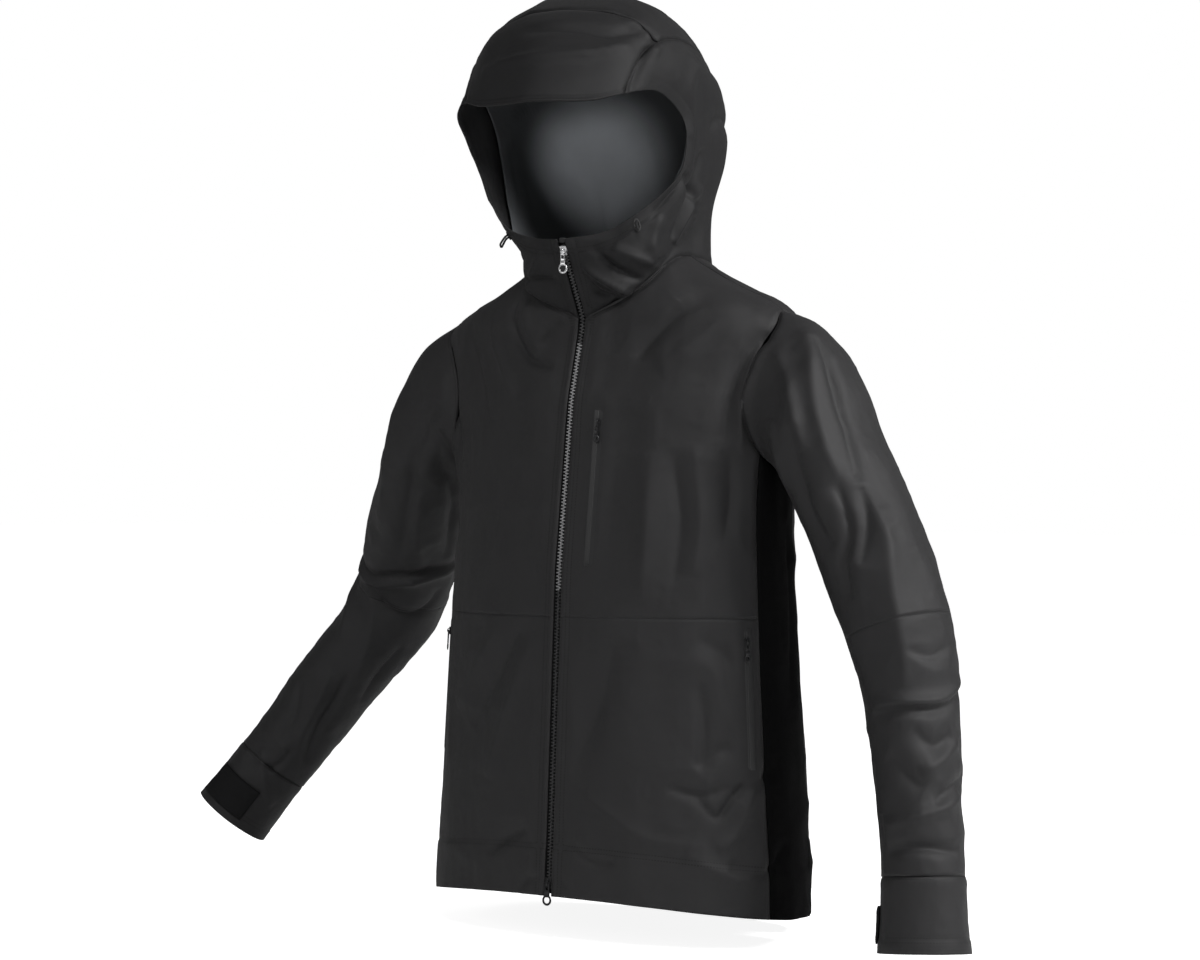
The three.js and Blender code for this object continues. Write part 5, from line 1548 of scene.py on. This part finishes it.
class Forge:
    """Hard pieces worked from primitives in edit mode, in millimetres, then set in place."""

    @staticmethod
    def block(size: Sequence[float], centre: Sequence[float], bevel: float = 0.3, steps: int = 2,
              taper: tuple[float, float] | None = None) -> bpy.types.Object:
        """A block with rounded edges, narrowed below z = taper[0] to a share taper[1] of its width.

        Args:
            size: its three sides.
            centre: its middle.
            bevel: the rounding.
            steps: faces across the rounding.
            taper: where it narrows from, and to what share.

        Returns:
            the block.
        """
        bpy.ops.mesh.primitive_cube_add(size=1, location=(0, 0, 0))
        piece = bpy.context.object
        piece.data.transform(Matrix.Translation(Vector(centre)) @ Matrix.Diagonal((*size, 1)))
        bpy.ops.object.mode_set(mode="EDIT")
        bpy.ops.mesh.select_all(action="SELECT")
        if taper:
            bpy.ops.mesh.bisect(plane_co=(0, 0, taper[0]), plane_no=(0, 0, 1))
            bpy.ops.object.mode_set(mode="OBJECT")
            low = min(v.co.z for v in piece.data.vertices)
            for v in piece.data.vertices:
                v.select = v.co.z < low + 1e-3
            bpy.ops.object.mode_set(mode="EDIT")
            bpy.ops.transform.resize(value=(taper[1], 1, 1), center_override=(0, 0, low))
            bpy.ops.mesh.select_all(action="SELECT")
        bpy.ops.mesh.bevel(offset=bevel, segments=steps, affect="EDGES", clamp_overlap=True)
        bpy.ops.object.mode_set(mode="OBJECT")
        return piece

    @staticmethod
    def pick(piece: bpy.types.Object, wanted: Callable[[bpy.types.MeshPolygon], bool]) -> None:
        """Opens edit mode with only the wanted faces selected.

        Args:
            piece: the object.
            wanted: says whether a face is wanted.
        """
        Bench.alone(piece)
        bpy.ops.object.mode_set(mode="EDIT")
        bpy.ops.mesh.select_mode(type="FACE")
        bpy.ops.mesh.select_all(action="DESELECT")
        bpy.ops.object.mode_set(mode="OBJECT")
        for face in piece.data.polygons:
            face.select = bool(wanted(face))
        bpy.ops.object.mode_set(mode="EDIT")

    @staticmethod
    def largest(piece: bpy.types.Object, axis: int, sign: int) -> Callable[[bpy.types.MeshPolygon], bool]:
        """A test for the largest face that looks along an axis.

        Args:
            piece: the object.
            axis: 0, 1 or 2.
            sign: which way along it.

        Returns:
            a test that only that face passes.
        """
        facing = [f for f in piece.data.polygons if f.normal[axis] * sign > 0.9]
        best = max(facing, key=lambda f: f.area).index
        return lambda f: f.index == best

    @staticmethod
    def recess(piece: bpy.types.Object, axis: int, sign: int, rim: float, depth: float) -> None:
        """Sinks a panel into the largest face that looks along an axis.

        Args:
            piece: the object.
            axis: 0, 1 or 2.
            sign: which way along it.
            rim: the border left.
            depth: how deep.
        """
        Forge.pick(piece, Forge.largest(piece, axis, sign))
        bpy.ops.mesh.inset(thickness=rim, depth=0)
        bpy.ops.mesh.inset(thickness=0.12, depth=-depth)
        bpy.ops.object.mode_set(mode="OBJECT")

    @staticmethod
    def pierce(piece: bpy.types.Object, rim: float) -> None:
        """Cuts a window through a block from front to back, leaving a rim.

        Args:
            piece: the block.
            rim: the border left.
        """
        faces = [Forge.largest(piece, 1, s) for s in (-1, 1)]
        Forge.pick(piece, lambda f: faces[0](f) or faces[1](f))
        bpy.ops.mesh.inset(thickness=rim, depth=0, use_individual=True)
        bpy.ops.mesh.bridge_edge_loops()
        bpy.ops.object.mode_set(mode="OBJECT")

    @staticmethod
    def ring(radius: float, wire: float, scale: Sequence[float], centre: Sequence[float],
             turn: str | None = "X", steps: tuple[int, int] = (40, 12)) -> bpy.types.Object:
        """A ring of round wire, flattened and set upright.

        Args:
            radius: from its centre to the wire's.
            wire: the wire's radius.
            scale: the flattening on each axis.
            centre: its middle.
            turn: the axis to turn it about, or None.
            steps: segments round the ring and the wire.

        Returns:
            the ring.
        """
        bpy.ops.mesh.primitive_torus_add(major_radius=radius, minor_radius=wire, major_segments=steps[0],
                                         minor_segments=steps[1])
        piece = bpy.context.object
        matrix = Matrix.Translation(Vector(centre)) @ Matrix.Diagonal((*scale, 1))
        if turn:
            matrix = matrix @ Matrix.Rotation(math.pi / 2, 4, turn)
        piece.data.transform(matrix)
        return piece

    @staticmethod
    def weld(base: bpy.types.Object, *others: bpy.types.Object) -> bpy.types.Object:
        """Unites pieces into one closed body.

        Args:
            base: the first piece, which stays.
            others: the rest, which are used up.

        Returns:
            the body.
        """
        for other in others:
            union = base.modifiers.new("weld", "BOOLEAN")
            union.operation, union.solver, union.object = "UNION", "EXACT", other
            Bench.alone(base)
            bpy.ops.object.modifier_apply(modifier=union.name)
            bpy.data.objects.remove(other)
        return base

    @staticmethod
    def set_down(piece: bpy.types.Object, name: str, matrix: Matrix, finish: Finish, slot: str, body: str,
                 node: str | None = None, angle: float = 40) -> bpy.types.Object:
        """Moves a finished piece to its place, names and dresses it and gives it its body.

        Args:
            piece: the object.
            name: its name.
            matrix: its place.
            finish: its material.
            slot: its material slot; not used.
            body: the body that it rides on.
            node: the solid that it stands for.
            angle: the sharpest smoothed edge.

        Returns:
            the piece.
        """
        piece.name = piece.data.name = name
        piece.data.transform(matrix)
        piece.data.materials.clear()
        piece.data.materials.append(finish.make())
        Bench.alone(piece)
        bpy.ops.object.mode_set(mode="EDIT")
        bpy.ops.mesh.select_all(action="SELECT")
        bpy.ops.mesh.normals_make_consistent(inside=False)
        bpy.ops.object.mode_set(mode="OBJECT")
        bpy.ops.object.shade_smooth_by_angle(angle=math.radians(angle))
        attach(piece, body)
        if node:
            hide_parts(node)
        LOG.info("%s: %d faces", name, len(piece.data.polygons))
        return piece


@dataclass(frozen=True)
class SliderSize:
    """A slider with its bridge and puller, in millimetres."""

    half: float  # half the face plate's width
    length: float
    face: float
    bridge: tuple[float, float, float]
    hinge: float
    bar: float
    pull: float
    ring: float
    thick: float
    slot: float


FRONT_SIZE = SliderSize(4.3, 11.0, 3.6, (2.9, 0.65, 4.45), 5.9, 3.6, 24.0, 5.8, 1.5, 9.0)
POCKET_SIZE = SliderSize(3.3, 8.5, 2.0, (2.5, 0.52, 2.92), 4.2, 2.8, 21.0, 3.4, 1.3, 7.0)


@dataclass
class ZipSlider:
    """A slider on a zip, with a forked puller that ends in a ring."""

    name: str
    run: str
    along: float
    size: SliderSize
    finish: Finish
    slot: str
    swing: float = 0.0
    flanged: bool = True

    def slider(self) -> None:
        """The body: a waisted, dished face plate, its flanges and the bridge."""
        k = self.size
        plate = Forge.block((2 * k.half, 1.3, k.length), (0, -k.face - 0.6, 0), 0.42, 3,
                            (-k.length * 0.1, 0.68))
        Forge.recess(plate, 1, -1, 0.8, 0.25)
        parts = []
        for side in (-1, 1) if self.flanged else ():
            parts.append(Forge.block((0.9, k.face - 0.1, k.length * 0.55),
                                     (side * (k.half - 0.5), -k.face / 2 - 0.45, k.length * 0.12), 0.25))
        radius, wire, base = k.bridge
        arch = Forge.ring(radius, wire, (1.4, 1, 1), (0, -base, 0), "Y")
        Bench.alone(arch)
        bpy.ops.object.mode_set(mode="EDIT")
        bpy.ops.mesh.select_all(action="SELECT")
        bpy.ops.mesh.bisect(plane_co=(0, -base + 0.1, 0), plane_no=(0, 1, 0), clear_outer=True, use_fill=True)
        bpy.ops.object.mode_set(mode="OBJECT")
        nose = Forge.block((k.half * 0.7, 1.2, 1.8), (0, -k.face - 1.1, k.length / 2 - 1.4), 0.35)
        Forge.weld(plate, *parts, arch, nose)
        Forge.set_down(plate, f"{self.name}_slider_body", RUNS[self.run].matrix(self.along), self.finish,
                       self.slot, f"{self.name}_slider", f"{self.name}_slider")

    def puller(self) -> None:
        """The puller: cross bar, slotted fork, waist and an oval ring."""
        k = self.size
        fork_end = -k.slot - 1.8
        fork = Forge.block((2 * k.bar, k.thick, k.thick / 2 - fork_end),
                           (0, 0, (k.thick / 2 + fork_end) / 2), 0.3, 2, (-2.5, 0.8))
        Forge.pierce(fork, 0.95)
        centre = -k.pull + k.ring
        waist = Forge.block((k.bar * 1.75, k.thick * 0.92, k.ring * 0.9 + 2.2),
                            (0, 0, (fork_end + centre + k.ring) / 2), 0.32)
        tall = 1.0 if k.ring > 5 else 1.28
        wire = 1.25 if k.ring > 5 else 0.95
        ring = Forge.ring(k.ring - wire, wire, (1, k.thick / (2 * wire), tall), (0, 0, centre), "X")
        Forge.weld(fork, waist, ring)
        tilt = Matrix.Translation(Vector((0, -k.hinge, 0))) @ Matrix.Rotation(-self.swing, 4, "X")
        place = RUNS[self.run].matrix(self.along) @ tilt
        Forge.set_down(fork, f"{self.name}_puller_body", place, self.finish, self.slot, f"{self.name}_puller",
                       f"{self.name}_puller")
        if self.finish is SILVER:
            bpy.ops.mesh.primitive_cylinder_add(vertices=32, radius=k.ring - 1.7, depth=0.9)
            insert = bpy.context.object
            upright = Matrix.Rotation(math.pi / 2, 4, "X")
            insert.data.transform(Matrix.Translation(Vector((0, 0, centre))) @ upright)
            for sign in (-1, 1):
                Forge.recess(insert, 1, sign, 0.7, 0.22)
            Forge.set_down(insert, f"{self.name}_puller_insert", place, PLASTIC, "plastic",
                           f"{self.name}_puller")

    def build(self) -> None:
        """Makes both pieces."""
        self.slider()
        self.puller()


@dataclass
class CentreStrip:
    """A strip swept up the centre front: a zip tape or the flap behind it."""

    name: str
    node: str
    section: Callable[[float], Sequence[tuple[float, float]]]
    finish: Finish
    slot: str
    step: float = 4.0

    def build(self) -> None:
        """Sweeps the section, as (x, height above the tape plane), from the hem to the chin."""
        heights = np.linspace(*FRONT_ENDS, int((FRONT_ENDS[1] - FRONT_ENDS[0]) / self.step) + 1)
        rings = []
        for z in heights:
            base, out = centre_frame(z)
            section = self.section(float(smooth(z, 596, 616)))
            rings.append([base + out * h + np.array([x, 0, 0]) for x, h in section])
        points = (np.array(rings) - HANGER) / 1000
        rows, n = points.shape[:2]
        faces = [(k * n + i, k * n + (i + 1) % n, (k + 1) * n + (i + 1) % n, (k + 1) * n + i)
                 for k in range(rows - 1) for i in range(n)]
        faces += [tuple(range(n))[::-1], tuple(range((rows - 1) * n, rows * n))]
        piece = Bench.shape(self.name, points.reshape(-1, 3).tolist(), faces)
        mesh = piece.data
        layer = mesh.uv_layers.new(name="cloth")
        for loop in mesh.loops:
            co = mesh.vertices[loop.vertex_index].co
            layer.data[loop.index].uv = (co.x, co.z)
        Forge.set_down(piece, self.name, Matrix.Identity(4), self.finish, self.slot, "torso", self.node, 30)
        xs = [p[0] for p in self.section(0)]
        long = float(np.linalg.norm(np.diff(points[:, 0], axis=0), axis=1).sum())


def centre_frame(z: float) -> tuple[Points, Points]:
    """A point on the front zip's tape plane and the direction outward there.

    Args:
        z: the height.

    Returns:
        the point and the direction.
    """
    slope = float(front_depth(z + 1) - front_depth(z - 1)) / 2
    out = unit(np.array([0, -1, -slope]))
    return np.ravel(centre_point(z)) - out * FRONT_SINK, out


@dataclass
class FrontZip:
    """The two-way zip up the front: tapes, teeth, two sliders and the flap behind."""

    pitch: float = 3.6
    # teeth between these heights take the paler finish, as painted glints of light
    bright: tuple[float, float] = (322.0, 588.0)

    def tooth(self) -> tuple[Points, list[tuple[int, ...]]]:
        """One moulded tooth, worked once: its corners and faces.

        Returns:
            the corners and the faces.
        """
        tooth = Forge.block((3.9, 2.7, 1.5), (1.15, -1.75, 0), 0.34, 1)
        Forge.pick(tooth, Forge.largest(tooth, 0, -1))
        bpy.ops.mesh.inset(thickness=0.12, depth=0.18)
        bpy.ops.object.mode_set(mode="OBJECT")
        corners = np.array([v.co[:] for v in tooth.data.vertices])
        faces = [tuple(f.vertices) for f in tooth.data.polygons]
        bpy.data.objects.remove(tooth)
        return corners, faces

    def row(self, side: Side, corners: Points, faces: list[tuple[int, ...]]) -> None:
        """One side's row of teeth.

        Args:
            side: the wearer's side.
            corners: one tooth's corners.
            faces: one tooth's faces.
        """
        zs = np.linspace(*FRONT_ENDS, 700)
        line = centre_point(zs)
        travel = np.concatenate([[0], np.linalg.norm(np.diff(line, axis=0), axis=1).cumsum()])
        stops = np.arange(3.0 + (self.pitch / 2 if side is Side.RIGHT else 0), travel[-1] - 2, self.pitch)
        heights = np.interp(stops, travel, zs)
        points, polygons, bright = [], [], []
        for k, z in enumerate(heights):
            base, out = centre_frame(float(z))
            up = np.cross(out, np.array([1.0, 0, 0]))
            sign = side.value
            sideways, along = np.outer(corners[:, 0] * sign, [1, 0, 0]), np.outer(corners[:, 2], up)
            points.append(base + sideways - np.outer(corners[:, 1], out) + along)
            polygons += [tuple(i + k * len(corners) for i in (f if sign > 0 else f[::-1])) for f in faces]
            # teeth in that span get the painted-glint finish
            bright += [self.bright[0] < z < self.bright[1]] * len(faces)
        name = f"front_zip_teeth_{side.word}"
        piece = Bench.shape(name, ((np.concatenate(points) - HANGER) / 1000).tolist(), polygons)
        Forge.set_down(piece, name, Matrix.Identity(4), TEETH, "zip", "torso")
        piece.data.materials.append(GLINT_PAINTED_TEETH.make())
        piece.data.polygons.foreach_set("material_index", np.array(bright, dtype=np.int32))

    def build(self) -> None:
        """Makes the zip."""
        def tape(sign: int) -> Callable[[float], Sequence[tuple[float, float]]]:
            """A tape's section on one side.

            Args:
                sign: the side.

            Returns:
                the section's corners from the collar's share.
            """
            return lambda fall: [(sign * x, h) for x, h in (
                (0.7, -0.8), (0.7, 0.0), (1.6, 0.35), (3.4, 0.3), (4.2, 0.02), (13.0, -4 * fall),
                (13.0, -0.8 - 4 * fall))]

        def flap(fall: float) -> Sequence[tuple[float, float]]:
            """The flap's section.

            Args:
                fall: the share by which it drops away inside the collar.

            Returns:
                the section's corners.
            """
            top = -1.4 - 4.4 * fall
            outer = top - 8 * fall
            return ((-11, top - 1), (-11, top), (-3, top + 0.1), (9, top), (26, outer), (26, outer - 1),
                    (9, top - 1))
        for side in Side:
            CentreStrip(f"front_zip_tape_{side.word}", f"front_zip_{side.word}", tape(side.value), TAPE,
                        "zip").build()
        CentreStrip("storm_flap_cloth", "storm_flap", flap, TRIM, "trim").build()
        corners, faces = self.tooth()
        for side in Side:
            self.row(side, corners, faces)
        collar = RUNS["front_collar"]
        ZipSlider("front_top", "front_collar", collar.length - 8, FRONT_SIZE, SILVER, "silver_metal",
                  math.acos(collar.up[2])).build()
        ZipSlider("front_bottom", "front_lower", 8, FRONT_SIZE, BLACK_METAL, "black_metal").build()
        garage = Forge.block((7.4, 3.4, 5.0), (0, -1.1, 3.0), 1.1, 3)
        Forge.recess(garage, 1, -1, 0.5, 0.2)
        Forge.set_down(garage, "zip_garage_cloth", collar.matrix(collar.length), SHELL, "shell", "torso",
                       "zip_garage")


@dataclass
class PocketZip:
    """A pocket's zip: two welded lips that meet over a fine coil, and a slider that runs on them."""

    name: str
    lips: tuple[tuple[float, float], ...] = (
        (0.28, 0.95), (0.28, 1.5), (0.75, 1.8), (4.6, 1.62), (5.6, 1.3), (5.6, 0.9))

    def build(self) -> None:
        """Makes the lips, the coil and the slider."""
        run = RUNS[self.name]
        stations = np.linspace(-2.5, run.length + 2.5, 46)
        points, faces = [], []

        def strip(section: Points, tops: Points) -> None:
            """Adds one strip, whose height follows tops along the run.

            Args:
                section: the strip's corners.
                tops: the height's share at each station.
            """
            start, n = len(points), len(section)
            for z, top in zip(stations, tops):
                points.extend((x, -h * top, z) for x, h in section)
            for k in range(len(stations) - 1):
                a = start + k * n
                faces.extend((a + i, a + (i + 1) % n, a + n + (i + 1) % n, a + n + i) for i in range(n))
            faces.append(tuple(range(start, start + n)))
            faces.append(tuple(range(start + (len(stations) - 1) * n, start + len(stations) * n)))
        from_end = np.minimum(stations + 2.5, run.length + 2.5 - stations)
        ends = 0.72 + 0.28 * np.sin(np.clip(from_end / 4, 0, 1) * np.pi / 2)
        for sign in (-1, 1):
            strip(np.array([(sign * x, h) for x, h in self.lips]), ends)
        piece = Bench.shape("lips", points, faces)
        Forge.set_down(piece, f"{self.name}_zip_lips", run.matrix(0), WELT, "zip", "torso",
                       f"{self.name}_zip", 25)
        coil = Forge.block((2.6, 0.5, run.length), (0, -1.25, run.length / 2), 0.18, 1)
        Forge.set_down(coil, f"{self.name}_zip_coil", run.matrix(0), TEETH, "zip", "torso")
        ZipSlider(self.name, self.name, run.length - 11, POCKET_SIZE, BLACK_METAL, "black_metal",
                  flanged=False).build()


@dataclass
class CordExit:
    """The oval eyelet that the hood's elastic leaves by."""

    side: Side

    def build(self) -> None:
        """Makes the eyelet."""
        at, out, dv = cord_place(self.side)
        rim = Forge.ring(2.9, 0.8, (1.0, 2.1, 0.8), (0, 0, 0), None, (36, 10))
        place = frame_at(unit(np.cross(out, dv)), dv, out, at + out * 0.7)
        Forge.set_down(rim, f"cord_eyelet_rim_{self.side.word}", place, PLASTIC, "plastic", "torso",
                       f"cord_eyelet_{self.side.word}")


def cord_place(side: Side) -> tuple[Points, Points, Points]:
    """Where the hood's elastic comes out: the place, the way out and the way down the cloth.

    Args:
        side: the wearer's side.

    Returns:
        the place and the two directions.
    """
    guide = CORD_GUIDE if side is Side.LEFT else HOOD_LAST - CORD_GUIDE

    def spot(u: float, v: float) -> Points:
        """One place on the hood."""
        return np.ravel(hood_point(np.array([u]), np.array([v])))
    at = spot(guide, CORD_SHARE)
    dv = unit(spot(guide, CORD_SHARE + 0.02) - spot(guide, CORD_SHARE - 0.02))
    out = unit(np.cross(dv, spot(guide + 0.1, CORD_SHARE) - spot(guide - 0.1, CORD_SHARE)))
    return at, out * np.sign(out @ (at - np.array([0, HOOD_CENTRE_Y, at[2]]))), dv


# ------------------------------------------------------------------ studio
@dataclass
class Studio:
    """The floor, the lights and the camera."""

    bearing: float = 34.0
    distance: float = 3.0
    height: float = 0.440
    lens: float = 81.8
    slip: float = -0.0242
    ambient: float = 0.12
    lamps: tuple[tuple[str, tuple[float, float, float], float, float], ...] = (
        ("key", (2.7, 0.2, 1.5), 0.9, 100), ("front", (1.5, -2.3, 1.9), 0.8, 41),
        ("fill", (-1.6, -2.6, 0.9), 1.4, 10))

    def floor(self) -> None:
        """A pale sweep under and behind the jacket."""
        low = float(CAD_BOX[0][2]) - 0.004
        bpy.ops.mesh.primitive_plane_add(size=40, location=(0, 0, low))
        plane = bpy.context.object
        plane.name = "studio_floor"
        pale = bpy.data.materials.new("studio_floor")
        pale.use_nodes = True
        tree = pale.node_tree
        shader = tree.nodes["Principled BSDF"]
        shader.inputs["Base Color"].default_value = (0.9, 0.9, 0.9, 1)
        shader.inputs["Roughness"].default_value = 0.9
        shader.inputs["Emission Color"].default_value = (1, 1, 1, 1)
        seen, glow = tree.nodes.new("ShaderNodeLightPath"), tree.nodes.new("ShaderNodeMath")
        glow.operation = "MULTIPLY"
        glow.inputs[1].default_value = 0.9
        tree.links.new(seen.outputs["Is Camera Ray"], glow.inputs[0])
        tree.links.new(glow.outputs[0], shader.inputs["Emission Strength"])
        plane.data.materials.append(pale)

    def light(self, name: str, place: tuple[float, float, float], size: float, power: float) -> None:
        """A soft square light aimed at the jacket's middle.

        Args:
            name: its name.
            place: where it hangs.
            size: its side in metres.
            power: in watts.
        """
        lamp = bpy.data.lights.new(name, "AREA")
        lamp.size, lamp.energy = size, power
        thing = Bench.put(name, lamp)
        thing.location = place
        thing.rotation_euler = (Vector((0, 0, -0.2)) - Vector(place)).to_track_quat("-Z", "Y").to_euler()

    def lining_light(self) -> None:
        """A weak narrow light that reaches into the hood."""
        lamp = bpy.data.lights.new("lining", "SPOT")
        lamp.energy, lamp.spot_size = 11.0, math.radians(10)
        lamp.spot_blend, lamp.shadow_soft_size = 1.0, 0.12
        thing = Bench.put("lining", lamp)
        aim, a = Vector(LINING_LIGHT_POOL[:3]), math.radians(self.bearing)
        thing.location = aim + Vector((1.8 * math.sin(a), -1.8 * math.cos(a), -0.12))
        thing.rotation_euler = (aim - thing.location).to_track_quat("-Z", "Y").to_euler()

    def camera(self) -> None:
        """The camera, level, at the jacket's front left."""
        a = math.radians(self.bearing)
        right = Vector((math.cos(a), math.sin(a), 0))
        back = Vector((math.sin(a), -math.cos(a), 0))
        lens = bpy.data.cameras.new("camera")
        lens.lens, lens.sensor_width = self.lens, 36.0
        thing = Bench.put("camera", lens)
        axis = Vector((0, -HANGER[1] / 1000, self.height - HANGER[2] / 1000))
        thing.location = axis + back * self.distance + right * self.slip
        thing.rotation_euler = (math.pi / 2, 0, a)
        bpy.context.scene.camera = thing

    def build(self) -> None:
        """Sets up the studio."""
        self.floor()
        world = bpy.data.worlds.new("studio")
        world.use_nodes = True
        tree = world.node_tree
        sky, path = tree.nodes["Background"], tree.nodes.new("ShaderNodeLightPath")
        strength = tree.nodes.new("ShaderNodeMapRange")
        sky.inputs["Color"].default_value = (1, 1, 1, 1)
        strength.inputs["To Min"].default_value, strength.inputs["To Max"].default_value = self.ambient, 1.0
        tree.links.new(path.outputs["Is Camera Ray"], strength.inputs["Value"])
        tree.links.new(strength.outputs["Result"], sky.inputs["Strength"])
        bpy.context.scene.world = world
        bpy.context.scene.view_settings.view_transform = "Standard"
        for lamp in self.lamps:
            self.light(*lamp)
        self.lining_light()
        self.camera()


def dress(node: str, finish: Finish) -> None:
    """Gives a CAD piece that stays in view its finish.

    Args:
        node: its name.
        finish: its material.
    """
    mesh = frame["nodes"][node].data
    mesh.materials.clear()
    mesh.materials.append(finish.make())


def main() -> None:
    """Builds the jacket piece by piece."""
    logging.basicConfig(level=logging.INFO, format="%(relativeCreated)d %(message)s")
    Studio().build()
    BodyShell().build()
    for side in Side:
        Sleeve(side).build()
    Hood().build()
    Linings().build()
    FrontZip().build()
    for name in ("chest", "hand_left", "hand_right"):
        PocketZip(name).build()
    for side in Side:
        CordExit(side).build()
    finishes = {"slider": BLACK_METAL, "puller": BLACK_METAL, "zip_left": TEETH, "zip_right": TEETH,
                "_zip": TAPE, "cord_lock": PLASTIC, "eyelet": PLASTIC, "hood_cord": CORD}
    for node, thing in frame["nodes"].items():
        if not thing.hide_render:
            found = [f for word, f in finishes.items() if word in node]
            dress(node, SILVER if node.startswith("front_top") else found[0] if found else TRIM)


if __name__ == "__main__":
    main()
